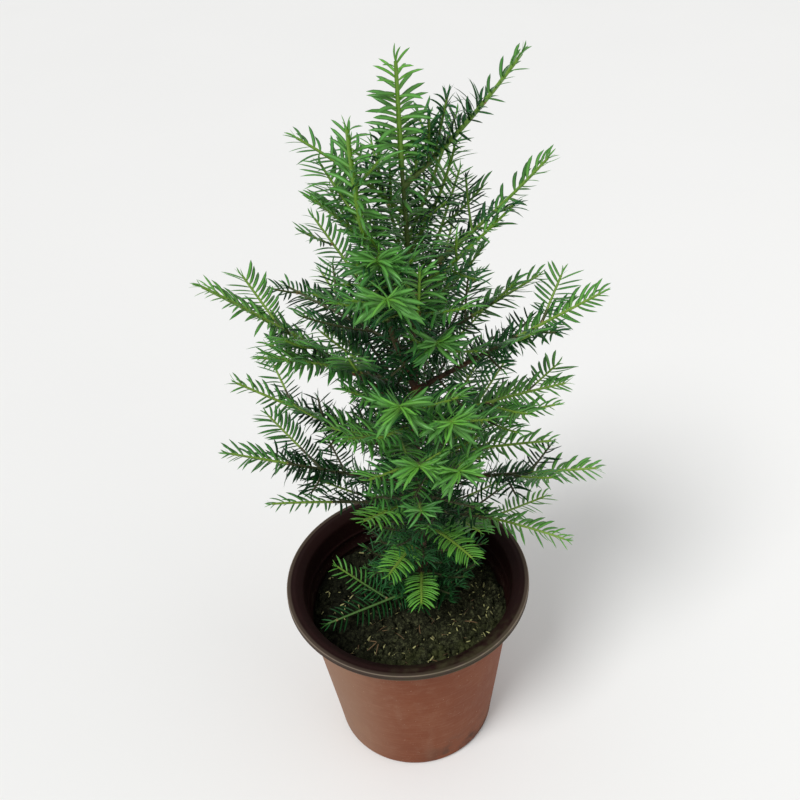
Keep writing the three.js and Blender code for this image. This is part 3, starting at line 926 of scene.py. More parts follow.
class Geometry(Board):
    """A geometry tree with named inputs, which ends in real geometry with its material."""

    def __init__(self, name, **defaults):
        super().__init__(bpy.data.node_groups.new(name, "GeometryNodeTree"))
        face = self.tree.interface
        face.new_socket("Geometry", in_out="INPUT", socket_type="NodeSocketGeometry")
        face.new_socket("Geometry", in_out="OUTPUT", socket_type="NodeSocketGeometry")
        for key, value in defaults.items():
            kind = "NodeSocketInt" if isinstance(value, int) else "NodeSocketFloat"
            socket = face.new_socket(label(key), in_out="INPUT", socket_type=kind)
            socket.default_value = value
        face.new_socket("Material", in_out="INPUT", socket_type="NodeSocketMaterial")
        self.entry = self.tree.nodes.new("NodeGroupInput")

    def given(self, name):
        return Value(self, self.entry.outputs[name])

    def attribute(self, name, kind="FLOAT"):
        return self.node("GeometryNodeInputNamedAttribute", {"data_type": kind}, {"Name": name})

    def store(self, geometry, name, value, kind="FLOAT"):
        feeds = {"Geometry": geometry, "Name": name, "Value": value}
        return self.node("GeometryNodeStoreNamedAttribute", {"data_type": kind}, feeds)

    def position(self):
        return self.node("GeometryNodeInputPosition")

    def shift(self, geometry, direction, distance):
        """Moves each point along its direction."""
        offset = self.node(
            "ShaderNodeVectorMath", {"operation": "SCALE"}, {0: direction, "Scale": distance})
        return self.node("GeometryNodeSetPosition", {}, {"Geometry": geometry, "Offset": offset})

    def tube(self, curve, section):
        """A round or ribbed stem along a curve, as thick as its girth says."""
        girth = self.attribute("girth")
        return self.node("GeometryNodeCurveToMesh", {}, [curve, section, girth, True])

    def instances(self, points, instance, rotation, size, chosen=True):
        return self.node("GeometryNodeInstanceOnPoints", {}, {
            "Points": points, "Selection": chosen, "Instance": instance, "Rotation": rotation,
            "Scale": size})

    def join(self, x, y, z):
        return self.node("ShaderNodeCombineXYZ", {}, [x, y, z])

    def scatter(self, low, high, seed):
        """A random number for each point."""
        return self.node("FunctionNodeRandomValue", {}, {"Min": low, "Max": high, "Seed": seed}, 1)

    def finish(self, geometry):
        """Turns instances into real geometry and gives it the material."""
        real = self.node("GeometryNodeRealizeInstances", {}, [geometry])
        feeds = {"Geometry": real, "Material": self.given("Material")}
        done = self.node("GeometryNodeSetMaterial", {}, feeds)
        end = self.tree.nodes.new("NodeGroupOutput")
        self.tree.links.new(done.socket, end.inputs["Geometry"])
        return self.tree


def label(key):
    return key.replace("_", " ").capitalize()


def in_scene(name, data):
    """A new object in the scene."""
    made = bpy.data.objects.new(name, data)
    bpy.context.scene.collection.objects.link(made)
    return made


def settle(piece):
    """Makes what the modifiers give the piece's own mesh."""
    graph = bpy.context.evaluated_depsgraph_get()
    piece.data = bpy.data.meshes.new_from_object(
        piece.evaluated_get(graph), preserve_all_data_layers=True, depsgraph=graph)
    piece.modifiers.clear()


def grown_piece(name, tree, mesh, **inputs):
    """An object whose plain mesh is what the tree makes of a mesh."""
    piece = plain_piece(name, mesh, inputs["material"])
    modifier = piece.modifiers.new(tree.name, "NODES")
    modifier.node_group = tree
    given = {label(key): value for key, value in inputs.items()}
    for item in tree.interface.items_tree:
        if item.in_out == "INPUT" and item.name in given:
            modifier[item.identifier] = given[item.name]
    settle(piece)
    piece.data.name = name
    if not piece.data.polygons:
        raise RuntimeError(f"{name} came out empty")
    # The tree puts its material behind an empty slot.
    if piece.data.materials[0] is None:
        piece.data.materials.pop(index=0)
    return piece


def plain_piece(name, mesh, material):
    mesh.materials.append(material)
    return in_scene(name, mesh)


def hand_over(piece, slot, nodes=()):
    """Lets the piece ride on the plant, and hides the solids that it stands for."""
    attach(piece, "root")
    if nodes:
        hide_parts(*nodes)


def set_attribute(mesh, name, values):
    """Stores a number or a vector for each point."""
    values = np.asarray(values, np.float32)
    kind, key = ("FLOAT", "value") if values.ndim == 1 else ("FLOAT_VECTOR", "vector")
    mesh.attributes.new(name, kind, "POINT").data.foreach_set(key, values.ravel())


def mesh_of(body, name):
    """Turns a bmesh into a mesh."""
    mesh = bpy.data.meshes.new(name)
    body.to_mesh(mesh)
    body.free()
    return mesh


def points_mesh(name, points, edges=()):
    mesh = bpy.data.meshes.new(name)
    mesh.from_pydata([tuple(p) for p in points], list(edges), [])
    return mesh


# Settings


def length(name, description, default):
    return FloatProperty(
        name=name, description=description, default=default, min=0, unit="LENGTH", precision=5)


def share(name, description, default):
    return FloatProperty(name=name, description=description, default=default, min=0, max=1)


def tint(name, description, default):
    return FloatVectorProperty(
        name=name, description=description, default=default, size=3, min=0, max=1,
        subtype="COLOR")


class YewNeedleSettings(bpy.types.PropertyGroup):
    """Sizes and greens of the needles"""

    full: length("Length", "Length of a full-grown needle", 0.0172)
    width: length("Width", "Width of a full-grown needle", 0.0024)
    thickness: length("Thickness", "Thickness of a full-grown needle at its midrib", 0.0004)
    pitch: length("Pitch", "Distance between needles on one side of a shoot", 0.0026)
    sweep: share("Sweep", "How far a needle bends towards the shoot's tip", 0.12)
    droop: share("Droop", "How far a needle's tip hangs", 0.11)
    unevenness: share("Unevenness", "Scatter of length and direction", 0.16)
    deep: tint("Deep green", "Colour of old needles inside the crown", (0.007, 0.044, 0.010))
    dark: tint("Dark green", "Colour of last year's needles", (0.018, 0.104, 0.026))
    mature: tint("Mature green", "Colour of full-grown needles", (0.050, 0.204, 0.034))
    fresh: tint("Fresh green", "Colour of this year's needles", (0.084, 0.280, 0.044))
    bright: tint("Bright green", "Colour of the newest needles", (0.110, 0.335, 0.045))
    dry: tint("Dry brown", "Colour of dead needles", (0.150, 0.090, 0.040))


class YewStemSettings(bpy.types.PropertyGroup):
    """Sizes and colours of bark, twigs and buds"""

    relief: length("Bark relief", "Height of the flakes on the trunk", 0.0005)
    ring: length("Ring spacing", "Distance between sections of a limb", 0.0012)
    sides: IntProperty(name="Sides", description="Sides of a limb's section", default=24, min=8)
    bark: tint("Bark", "Colour of the trunk's flakes", (0.135, 0.074, 0.044))
    groove: tint("Groove", "Colour between the flakes", (0.030, 0.012, 0.008))
    woody: tint("Woody twig", "Colour of last year's twigs", (0.056, 0.060, 0.019))
    green: tint("Green twig", "Colour of this year's twigs", (0.200, 0.345, 0.038))
    scale: length("Bud scale", "Length of a bud scale at a joint", 0.0020)
    scales: tint("Scales", "Colour of bud scales", (0.330, 0.230, 0.090))


class YewPotSettings(bpy.types.PropertyGroup):
    """Finish of the nursery pot"""

    segments: IntProperty(name="Segments", description="Segments round", default=144, min=24)
    warp: length("Warp", "How far the thin wall is out of round", 0.0004)
    outside: tint("Outside", "Colour of the outer wall", (0.186, 0.052, 0.021))
    # The inner wall's colour is darkened to near black with painted shade; it also covers the rim's
    # flange.
    inside: tint("Inside", "Colour of the inner wall", (0.011, 0.0022, 0.0018))
    rim: tint("Rim", "Colour of the rim's worn edge", (0.078, 0.056, 0.042))
    # The dust colour and the dustiness also paint the highlight on the left of the wall.
    dust: tint("Dust", "Colour of dust and dried soil", (0.310, 0.200, 0.130))
    dusty: share("Dustiness", "How much dust lies on the wall", 0.30)


class YewSoilSettings(bpy.types.PropertyGroup):
    """The potting soil and what lies on it"""

    lump: length("Lump", "Height of the soil's lumps", 0.0044)
    crumb: length("Crumb", "Radius of the largest crumbs", 0.0042)
    husk: length("Husk", "Length of a straw husk", 0.0056)
    soil: tint("Soil", "Colour of moist potting soil", (0.0142, 0.0152, 0.0072))
    moss: tint("Moss", "Colour of the mossy crust", (0.062, 0.070, 0.021))
    straw: tint("Straw", "Colour of the husks", (0.520, 0.520, 0.210))


class YewStageSettings(bpy.types.PropertyGroup):
    """Floor, light and camera"""

    floor: tint("Floor", "Colour of the floor", (0.86, 0.86, 0.85))
    key: FloatProperty(name="Key", description="Strength of the main light", default=1.95, min=0)
    fill: FloatProperty(name="Fill", description="Power of the fill light", default=5.0, min=0)
    sky: FloatProperty(name="Sky", description="Strength of the light all round", default=0.51)


# Blades: needles, scales, husks


def blade(board, width, thickness, sweep, droop, sections=5):
    """A pointed blade one unit long, ahead along X and flat in XY, with a ridge and a keel."""
    ends = {
        "Resolution": sections,
        "Start": (0.0, 0.0, 0.0),
        "Middle": board.join(0.5, sweep * -0.4, droop * 0.5),
        "End": board.join(0.985, sweep, -droop),
    }
    spine = board.node("GeometryNodeCurveQuadraticBezier", {}, ends)
    spine = board.node("GeometryNodeSetCurveNormal", {"mode": "Z_UP"}, [spine])
    along = board.node("GeometryNodeSplineParameter")
    spine = board.store(spine, "along", along)
    along = board.attribute("along")
    swell = (1 - 0.94 * along ** 7.0) * (1 - 0.6 * (1 - along) ** 9.0)
    section = board.node("GeometryNodeCurvePrimitiveQuadrilateral", {"mode": "KITE"}, {
        "Width": width, "Bottom Height": thickness * 0.4, "Top Height": thickness * 0.6,
    })
    _, down, _ = board.parts(board.position())
    section = board.store(section, "under", down.math("GREATER_THAN", down, 1e-6))
    return board.node("GeometryNodeCurveToMesh", {}, [spine, section, swell, True])


# Sweep and droop of each bend that a needle can have, as shares of the usual ones.
NEEDLE_BENDS = ((1, 1), (-1, 1), (1, -0.4), (-1, 2.2))


def needle_tree():
    """Needles on points: each point says where its needle heads, which way it faces, and more."""
    board = Geometry("Needles", full=0.0165, width=0.0024, thickness=0.0006, sweep=0.08, droop=0.07)
    width = board.given("Width") / board.given("Full")
    thickness = board.given("Thickness") / board.given("Full")
    rotation = board.node("FunctionNodeAxesToRotation", {
        "primary_axis": "X", "secondary_axis": "Z",
    }, [board.attribute("ahead", "FLOAT_VECTOR"), board.attribute("face", "FLOAT_VECTOR")])
    kind = board.attribute("bend")
    shapes = []
    for index, (bend, hang) in enumerate(NEEDLE_BENDS):
        needle = blade(
            board, width, thickness, board.given("Sweep") * bend, board.given("Droop") * hang)
        chosen = kind.math("COMPARE", kind, float(index), 0.5)
        shapes.append(board.instances(
            board.given("Geometry"), needle, rotation, board.attribute("size"), chosen))
    return board.finish(board.node("GeometryNodeJoinGeometry", {}, [shapes]))


# Needles of every spray


NEEDLE_KINDS = ("deep", "dark", "mature", "fresh", "bright")
YOUTH_STEPS = (0.30, 0.46, 0.62, 0.80)

# Sheen and width of each kind of needle, as shares of the usual ones.
NEEDLE_BUILD = {
    "deep": (0.5, 0.88),
    "dark": (0.9, 0.92),
    "mature": (1.6, 0.94),
    "fresh": (1.6, 1.0),
    "bright": (1.1, 0.82),
}

NEEDLE_CUTS = (1, 0.78, 0.58)
NEEDLE_FOOT = 0.3
NEEDLE_ROOM = 0.0003
TIP_ROOM = 0.0005
ODD_BENDS = 0.3

# Directions ahead, left and up for needles that stand on the trunk.
TRUNK_AXES = [np.array(axis, float) for axis in ((0, 0, 1), (1, 0, 0), (0, 1, 0))]


class Row:
    """Two rows of needles along a shoot, closest near its foot."""

    CLOSE = 0.72
    LEADER_CLOSE = 0.5
    MOOD = 0.10
    # Within this reach of the trunk, needles turn darker: partly older, partly painted shade inside
    # the crown.
    INNER = 0.05
    INNER_OLDER = 0.04
    FOOT_LEAN = Shoot.LEAN + 18
    TIP_LEAN = Shoot.LEAN - 14
    WAVE = 2.4
    TWIST = 0.35
    FACE_UP = 1.35


class Spike:
    """Short needles round an end bud."""

    COUNT = 4
    LEAN = 8
    LEAN_SCATTER = 14
    FRESHER = 0.10
    LEADER_LONGER = 1.3


class Star:
    """Long needles round a tip, from the bud back."""

    COUNT = 24
    BEYOND = 0.002
    DEPTH = 0.008
    LEANS = (30, 84)
    SIZES = (0.5, 1.15)
    SLOPES = (-62, 30)
    FRESHER = (0.14, -0.10)


class OldWood:
    """Needles all round a bough, and round the old wood of a tuft."""

    PAST_BOUGH = 0.003
    FIRST = 0.005
    LEAN = 66
    SIZES = (0.6, 0.95)
    LONGER = 0.0015
    OLDER = 0.13
    SPACING = 0.0024
    TUFT_SPACING = 0.0010


class TrunkNeedles:
    """Needles round the trunk: close low down, thin above, and closest near its top."""

    LOWEST = 0.136
    LOW = 0.24
    LOW_FADE = 0.06
    HIGH = 0.30
    HIGH_FADE = 0.12
    SIDEWAYS = 0.44
    LEANS = (54, 86)
    YOUTHS = (0.32, 0.58)
    LOW_FRESHER = 0.04
    SPACING = 0.0030
    LOW_SPACING = 0.0009
    HIGH_SPACING = 0.0006


def kind_of(youth):
    return NEEDLE_KINDS[sum(youth > step for step in YOUTH_STEPS)]


class NeedleBed:
    """Needles of one kind, as points with their directions and sizes."""

    def __init__(self):
        self.needles = []
        self.nodes = set()

    def add(self, root, ahead, face, size, bend, tone, node):
        self.needles.append((root, ahead, face, size, bend, tone))
        self.nodes.add(node)

    def mesh(self, name):
        roots, *columns = zip(*self.needles)
        mesh = points_mesh(name, roots)
        for key, values in zip(("ahead", "face", "size", "bend", "tone"), columns):
            set_attribute(mesh, key, values)
        return mesh


class NeedleGrower:
    """Sets needles of real size on every shoot, and deals them to kinds by their age."""

    def __init__(self, settings):
        self.settings = settings
        self.masses, self.space = grown_crown()
        self.beds = {kind: NeedleBed() for kind in NEEDLE_KINDS}

    def uneven(self, scale=1.0):
        """Scatter round nothing."""
        return scale * self.settings.unevenness * (next(self.draw) - 0.5)

    def step(self, spacing):
        """Distance to the next needle, on average the spacing."""
        return spacing * (0.6 + 0.8 * next(self.draw))

    def fill(self):
        for mass in self.masses:
            self.draw = scatter_of("needles", mass.index)
            for spray in mass.sprays:
                self.rows(spray, mass.limb.lush * spray.close)
                if spray.star:
                    self.star(spray, mass.limb.lush)
                else:
                    self.spike(spray)
            if mass.limb.bough > 0 or mass.limb.tuft:
                self.bough(mass)
        self.trunk()
        return self.beds

    def plant(self, owner, root, direction, face, size, bend, youth):
        """Sets one needle at the greatest length that keeps clear of stems, pot and soil."""
        *shoot, node = owner
        tone = next(self.draw)
        for cut in NEEDLE_CUTS:
            tip = root + direction * size * cut
            start = lerp(root, tip, NEEDLE_FOOT)
            clear = clear_of_pot(tip, TIP_ROOM)
            if clear and self.space.is_clear(start, tip, NEEDLE_ROOM, *shoot, 0):
                bed = self.beds[kind_of(youth)]
                bed.add(root, direction, face, size * cut, bend, tone, node)
                return

    def rows(self, spray, lush):
        """Two rows of needles, one on each side, half a step apart."""
        mood = Row.MOOD * (next(self.draw) - 0.5)
        span = spray.end - spray.first_needle
        count = max(3, round(span * lush / self.settings.pitch))
        close = Row.LEADER_CLOSE if spray.leads else Row.CLOSE
        full = self.settings.full * min(lush, 1.1) ** 0.5
        for i in range(count):
            for hand in (1, -1):
                place = (i + 0.5 + 0.25 * hand + self.uneven(0.5)) / count
                along = spray.first_needle + span * place * lerp(close, 1, place)
                direction, face = self.pose(spray, along, hand, i)
                size = needle_size(spray, along, full) * (1 + self.uneven())
                bend = (hand > 0) + 2 * (next(self.draw) < ODD_BENDS)
                root = spray.stem.point(along) + direction * 0.4 * stem_thickness(spray, along)
                # Painted shade, with age: needles near the trunk turn darker.
                inner = 1 - clamp(np.linalg.norm(root - trunk_axis(root[2])) / Row.INNER)
                youth = age_at(spray, along) + mood - Row.INNER_OLDER * inner
                self.plant(spray.owner, root, direction, face, size, bend, youth)

    def pose(self, spray, along, hand, turn):
        """Direction of one needle, and the direction that its upper side faces."""
        ahead, left, up = spray.stem.frame(along)
        place = clamp((along - spray.first_needle) / max(spray.end - spray.first_needle, 1e-6))
        lean = math.radians(lerp(Row.FOOT_LEAN, Row.TIP_LEAN, place ** 2)) + self.uneven(1.3)
        lift = math.radians(spray.fan * math.sin(turn * Row.WAVE + hand) + Shoot.CUP)
        lift += self.uneven(1.6)
        out = toward(ahead, left * hand, lean)
        direction = toward(out, up, lift)
        face = toward(up, -out, lift)
        steep = max(ahead[2], 0) ** 3
        face = face * (1 - Row.FACE_UP * steep) + np.array((0.0, 0.0, steep))
        face = unit(face - direction * (face @ direction))
        twist = self.uneven(3.0) + Row.TWIST * hand
        return direction, toward(face, cross(direction, face), twist)

    def round_needle(self, owner, root, axes, turn, lean, size, youth):
        """One needle that stands off a stem in any direction round it."""
        ahead, left, up = axes
        out = toward(left, up, turn)
        direction = toward(ahead, out, lean)
        face = toward(-out, ahead, lean)
        bend = (next(self.draw) < 0.5) + 2 * (next(self.draw) < ODD_BENDS)
        self.plant(owner, root, direction, face, size, bend, youth)

    def spike(self, spray):
        """A slim point of short needles round the end bud."""
        stem = spray.stem
        youth = age_at(spray, stem.length) + Spike.FRESHER
        for k in range(Spike.COUNT):
            turn = math.pi * (0.5 * k + 0.3 * next(self.draw))
            lean = math.radians(Spike.LEAN + Spike.LEAN_SCATTER * next(self.draw))
            size = Shoot.END_NEEDLE * lerp(0.5, 1.0, next(self.draw))
            if spray.leads:
                size *= Spike.LEADER_LONGER
            self.round_needle(
                spray.owner, stem.point(spray.end), stem.frame(spray.end), turn, lean, size, youth)

    def star(self, spray, lush):
        """A fan of long needles to both sides, which close in towards a bright end bud."""
        count = round(Star.COUNT * lush)
        full = self.settings.full * lush ** 0.7
        for k in range(count):
            share = k / (count - 1)
            along = spray.end - Star.DEPTH * share + Star.BEYOND
            lean = math.radians(lerp(*Star.LEANS, share ** 0.6)) + self.uneven(1.6)
            size = full * lerp(*Star.SIZES, share ** 0.5) * (1 + self.uneven(1.4))
            youth = age_at(spray, along) + lerp(*Star.FRESHER, share ** 0.5)
            slope = math.radians(lerp(*Star.SLOPES, next(self.draw)))
            turn = slope if k % 2 else math.pi - slope
            stem = spray.stem
            self.round_needle(
                spray.owner, stem.point(along), stem.frame(along), turn, lean, size, youth)

    def bough(self, mass):
        """Old needles, thinly set all round a bough, and round all the old wood of a tuft."""
        limb = mass.limb
        spray = mass.sprays[0]
        last = spray.joint if limb.tuft else limb.bough + OldWood.PAST_BOUGH
        along = trunk_radius(limb.z) + OldWood.FIRST
        k = 0
        while along < last:
            lean = math.radians(OldWood.LEAN) + self.uneven(2.0)
            size = self.settings.full * lerp(*OldWood.SIZES, next(self.draw)) + OldWood.LONGER
            turn = k * GOLDEN_TURN % (math.pi if limb.lone else math.tau)
            youth = limb.youth - OldWood.OLDER + self.uneven()
            self.round_needle(
                spray.owner, spray.stem.point(along), spray.stem.frame(along), turn, lean, size,
                youth)
            along += self.step(OldWood.TUFT_SPACING if limb.tuft else OldWood.SPACING)
            k += 1

    def trunk(self):
        """Needles round the trunk, which stand mostly sideways near its top."""
        self.draw = scatter_of("trunk")
        z = TrunkNeedles.LOWEST
        k = 0
        while z < Trunk.TOP - 0.002:
            high = clamp((z - TrunkNeedles.HIGH) / TrunkNeedles.HIGH_FADE)
            low = clamp((TrunkNeedles.LOW - z) / TrunkNeedles.LOW_FADE)
            turn = k * GOLDEN_TURN
            turn -= TrunkNeedles.SIDEWAYS * high * math.sin(2 * turn)
            out = np.array((math.cos(turn), math.sin(turn), 0))
            root = trunk_axis(z) + 0.6 * trunk_radius(z) * out
            size = self.settings.full * lerp(0.65, 0.95 + 0.25 * high, next(self.draw))
            lean = math.radians(lerp(*TrunkNeedles.LEANS, next(self.draw)))
            youth = lerp(*TrunkNeedles.YOUTHS, high) + TrunkNeedles.LOW_FRESHER * low
            youth += self.uneven()
            self.round_needle((*TRUNK_WOOD, "trunk"), root, TRUNK_AXES, turn, lean, size, youth)
            spacing = lerp(TrunkNeedles.SPACING, TrunkNeedles.LOW_SPACING, low)
            z += self.step(lerp(spacing, TrunkNeedles.HIGH_SPACING, high))
            k += 1


class Age:
    """How much fresher than its shoot a needle is, at the shoot's foot and at its tip.

    The newest shoots are darker again in their inner half.
    """

    LAST_YEAR = (-0.24, -0.12)
    THIS_YEAR = (-0.03, 0.22)
    NEWEST = 0.8
    NEWEST_INNER = 0.6


def needle_size(spray, along, full):
    """Needles are longest past the middle of a shoot, and short at joints and near its tip."""
    place = clamp((along - spray.first_needle) / (spray.stem.length - spray.first_needle))
    full *= (1, 0.9, 0.94)[spray.order] * (1 - 1.4 * clamp(spray.youth - 0.74))
    if spray.leads:
        place = lerp(0.35, 1, place)
    swell = math.sin(math.pi * clamp(place * 0.86 + 0.1))
    notch = 0.3 * math.exp(-(((along - spray.joint) / 0.004) ** 2)) if spray.order < 2 else 0.2
    tip = 0 if spray.star else 0.45 * clamp((place - 0.74) / 0.26) ** 1.4
    return full * lerp(0.62, 1, swell) * (1 - notch) * (1 - tip)


def age_at(spray, along):
    """Youth of a spray's needles: the outer ones, of this year's growth, are fresher."""
    if spray.order == 2:
        return spray.youth
    share = clamp(along / spray.stem.length)
    if spray.flush:
        return spray.youth + spray.flush * share ** 1.5
    if along < spray.joint:
        return spray.youth + lerp(*Age.LAST_YEAR, share)
    inner = clamp(1 - 2 * share) if spray.youth > Age.NEWEST else 0
    return spray.youth + lerp(*Age.THIS_YEAR, share ** 2) - Age.NEWEST_INNER * inner


# Materials


class Tint:
    """Colours that lie in patches over those from the panel."""

    HIGH_STEM = (0.120, 0.270, 0.016)
    LOW_STEM = (0.038, 0.120, 0.036)
    RED_BARK = (0.270, 0.094, 0.044)
    OLIVE_BARK = (0.076, 0.128, 0.022)
    BROWN_HUSK = (0.230, 0.160, 0.080)
    WALL_RUNS = (0.280, 0.170, 0.110)
    WALL_MOTTLE = (0.330, 0.200, 0.130)
    WALL_SCUFFS = (0.340, 0.180, 0.110)
    WALL_SPECKS = (0.420, 0.300, 0.210)
    WALL_STAIN = (0.035, 0.022, 0.014)
    RIM_WORN = (0.270, 0.220, 0.165)
    INNER_CRUST = (0.036, 0.027, 0.017)
    INNER_FLECKS = (0.070, 0.058, 0.036)
    INNER_MOSS = (0.060, 0.058, 0.026)


def needle_finish(name, base, sheen):
    """Satin needle: pale on its under side, a yellowish foot and uneven greens."""
    board = Material(name, Specular_IOR_Level=0.26 * sheen)
    place = board.place()
    patch = board.noise(place, 45.0, 2.0)
    streak = board.noise(place, 900.0, 2.0)
    foot = (1 - board.attribute("along")) ** 4.0
    red, green, blue = base
    pale = (red * 1.3 + 0.004, green * 1.2 + 0.010, blue * 1.3 + 0.004)
    yellowish = (red + 0.35 * green, green * 1.35, blue)
    body = board.coats(
        board.shade((board.attribute("tone") * 0.6 + patch * 0.6).limit(), base, 0.70, 1.30),
        (board.attribute("under") * 0.5, pale),
        (foot * 0.6, yellowish))
    return board.feed(
        Base_Color=body, Roughness=0.26 + 0.20 * streak, Normal=board.bump(streak, 0.25, 0.0002))


def stem_finish(name, base, rough):
    """Young stem: pale ribs and darker furrows, fresh green high up and dark green by the soil."""
    board = Material(name)
    place = board.place()
    patch = board.noise(place, 220.0, 3.0)
    fine = board.noise(place, 1400.0, 3.0)
    height = board.parts(place)[2]
    body = board.coats(
        board.shade((board.attribute("rib") * 0.6 + patch * 0.5).limit(), base, 0.55, 1.3),
        (height.ramp(0.36, 0.44) * 0.75, Tint.HIGH_STEM),
        (0.75 - 0.75 * height.ramp(0.135, 0.160), Tint.LOW_STEM))
    return board.feed(
        Base_Color=body, Roughness=rough + 0.2 * fine, Normal=board.bump(fine, 0.3, 0.0002))


def bark_finish(settings):
    """Thin flaking bark: dark grooves, brown flakes, red patches, and olive towards the top."""
    board = Material("yew bark")
    place = board.place()
    height = board.parts(place)[2]
    fine = board.noise(place, 900.0, 5.0, 0.65)
    flake = (board.attribute("flake") * 0.9 + fine * 0.5 - 0.2).limit()
    red = board.noise(place, 70.0, 3.0).ramp(0.52, 0.68)
    olive = height.ramp(0.33, 0.43) * (0.7 + 0.4 * fine)
    body = board.coats(
        board.mix(flake, settings.groove, settings.bark),
        (red * (0.15 + 0.5 * height.ramp(0.2, 0.3)), Tint.RED_BARK),
        (olive.limit(), Tint.OLIVE_BARK))
    return board.feed(
        Base_Color=body, Roughness=0.72 + 0.2 * fine, Normal=board.bump(fine, 0.5, 0.0004))


def patchy_finish(name, base, spread, scale, rough, **constants):
    """One colour in lighter and darker patches, the lighter ones rougher."""
    board = Material(name, **constants)
    patch = board.noise(board.place(), scale, 2.0)
    return board.feed(
        Base_Color=board.shade(patch, base, *spread), Roughness=rough[0] + rough[1] * patch)


def pot_wall(board, settings, place, cloud):
    """Colour of the wall outside, and its scuffs: dust in patches, a painted highlight to the left,
    stained low to the right.
    """
    x, y, height = board.parts(place)
    # Painted highlight: the wall is lighter towards the left, where the light falls, laid on in the
    # dust colour.
    painted_left_highlight = (-x).ramp(0.004, 0.062) * 2.0
    dust_and_left_highlight = (cloud.ramp(0.45, 0.75) * 0.4 + painted_left_highlight) * settings.dusty
    runs = board.noise(board.vector("MULTIPLY", place, (60.0, 60.0, 9.0)), 1.0, 4.0)
    scuffs = board.noise(board.vector("MULTIPLY", place, (40.0, 40.0, 900.0)), 1.0, 2.0)
    mottle = board.noise(place, 120.0, 5.0, 0.65)
    specks = board.noise(place, 620.0, 2.0)
    stain = board.noise(place, 60.0, 4.0, 0.65).ramp(0.42, 0.62)
    low_right = (x * 0.8 - y * 0.6).ramp(0.030, 0.066) * (1 - height.ramp(0.004, 0.040))
    wall = board.coats(
        board.shade(cloud, settings.outside, 0.84, 1.14),
        (dust_and_left_highlight.limit(), settings.dust),
        (runs.ramp(0.56, 0.74) * 0.16, Tint.WALL_RUNS),
        (mottle.ramp(0.46, 0.70) * 0.12, Tint.WALL_MOTTLE),
        (scuffs.ramp(0.48, 0.72) * 0.14, Tint.WALL_SCUFFS),
        (specks.ramp(0.70, 0.74) * 0.45, Tint.WALL_SPECKS),
        ((stain * low_right * 0.9).limit(), Tint.WALL_STAIN))
    return wall, scuffs


def pot_inside(board, settings, place, cloud):
    """Colour of the rim and the inside: near black with painted shade, worn at the edge with thin
    lines that are partly painted highlight, crusted with soil further down.
    """
    x, y, height = board.parts(place)
    level = board.vector("MULTIPLY", place, (1.0, 1.0, 0.0))
    radius = board.vector("LENGTH", level, output="Value")
    near = (-y).ramp(0.050, 0.088)
    edge = radius.ramp(0.0862, 0.0874) * (0.6 + 0.6 * cloud) * (1 - 0.4 * near)
    # Thin light lines on the rim's top and the lip's lower edge: partly wear, partly painted
    # highlight.
    worn_and_lit_lines = height.ramp(0.1511, 0.1515) + 1 - height.ramp(0.1476, 0.1480)
    worn = radius.ramp(0.0889, 0.0893) * worn_and_lit_lines
    crust = board.noise(place, 130.0, 4.0).ramp(0.50, 0.72)
    soiled = (1 - height.ramp(0.118, 0.130)) * 0.5 + 0.05
    flecks = board.noise(place, 420.0, 2.0).ramp(0.66, 0.70) * (1 - height.ramp(0.122, 0.146))
    front = (x * 0.45 - y * 0.9).ramp(0.060, 0.086)
    moss = front * board.noise(place, 150.0, 3.0).ramp(0.32, 0.75)
    return board.coats(
        # Painted shade: the rim and the inside start near black.
        board.shade(cloud, settings.inside, 0.7, 1.6),
        (edge.limit(), settings.rim),
        ((worn * (0.35 + 0.5 * cloud)).limit(), Tint.RIM_WORN),
        ((crust * soiled).limit(), Tint.INNER_CRUST),
        (flecks * 0.7, Tint.INNER_FLECKS),
        (moss * 0.5, Tint.INNER_MOSS))


def pot_finish(settings):
    """Matte terracotta plastic outside, near-black rim and inside in painted shade, with dust and
    dried soil, a painted highlight on the left of the wall and partly painted highlight lines on
    the rim.
    """
    board = Material("pot plastic", Specular_IOR_Level=0.14)
    place = board.place()
    outside = board.attribute("outside")
    cloud = board.noise(place, 22.0, 5.0, 0.6)
    grain = board.noise(place, 500.0, 4.0, 0.6)
    wall, scuffs = pot_wall(board, settings, place, cloud)
    body = board.mix(outside, pot_inside(board, settings, place, cloud), wall)
    height = board.parts(place)[2]
    band = outside * (height.ramp(0.1366, 0.1374) + height.ramp(0.1404, 0.1410))
    bumps = board.bump(scuffs, 0.12, 0.0002, board.bump(band, 0.8, 0.0004))
    bumps = board.bump(grain, 0.35, 0.0002, bumps)
    return board.feed(Base_Color=body, Roughness=0.46 + 0.25 * cloud + 0.1 * grain, Normal=bumps)


def soil_finish(settings, name="potting soil", light=1.0):
    """Moist crumbly soil, near black, with lighter clumps and grit, moss at the front, and painted
    shade towards the left.
    """
    board = Material(name, Specular_IOR_Level=0.12)
    place = board.place()
    x, y, _ = board.parts(place)
    grit = board.noise(place, 900.0, 5.0, 0.7)
    front = (x * 0.35 - y * 0.95).ramp(0.022, 0.070)
    moss = front * board.noise(place, 75.0, 4.0, 0.6).ramp(0.42, 0.60)
    cloud = board.noise(place, 55.0, 4.0)
    clump = board.noise(place, 330.0, 3.0, 0.6)
    damp_and_shade, moist, clumped, gritty = (
        tinted(settings.soil, factor * light) for factor in (0.25, 1.6, 5.0, 8.0))
    body = board.coats(
        board.mix(cloud, damp_and_shade, moist),
        (clump.ramp(0.50, 0.66) * 0.8, clumped),
        (grit.ramp(0.54, 0.68) * 0.8, gritty),
        # Painted shade: the soil darkens towards the left.
        ((-x).ramp(0.005, 0.055) * 0.7, damp_and_shade),
        (moss * 0.8, settings.moss))
    return board.feed(
        Base_Color=body, Roughness=0.78 + 0.2 * grit, Normal=board.bump(grit, 0.9, 0.0012))


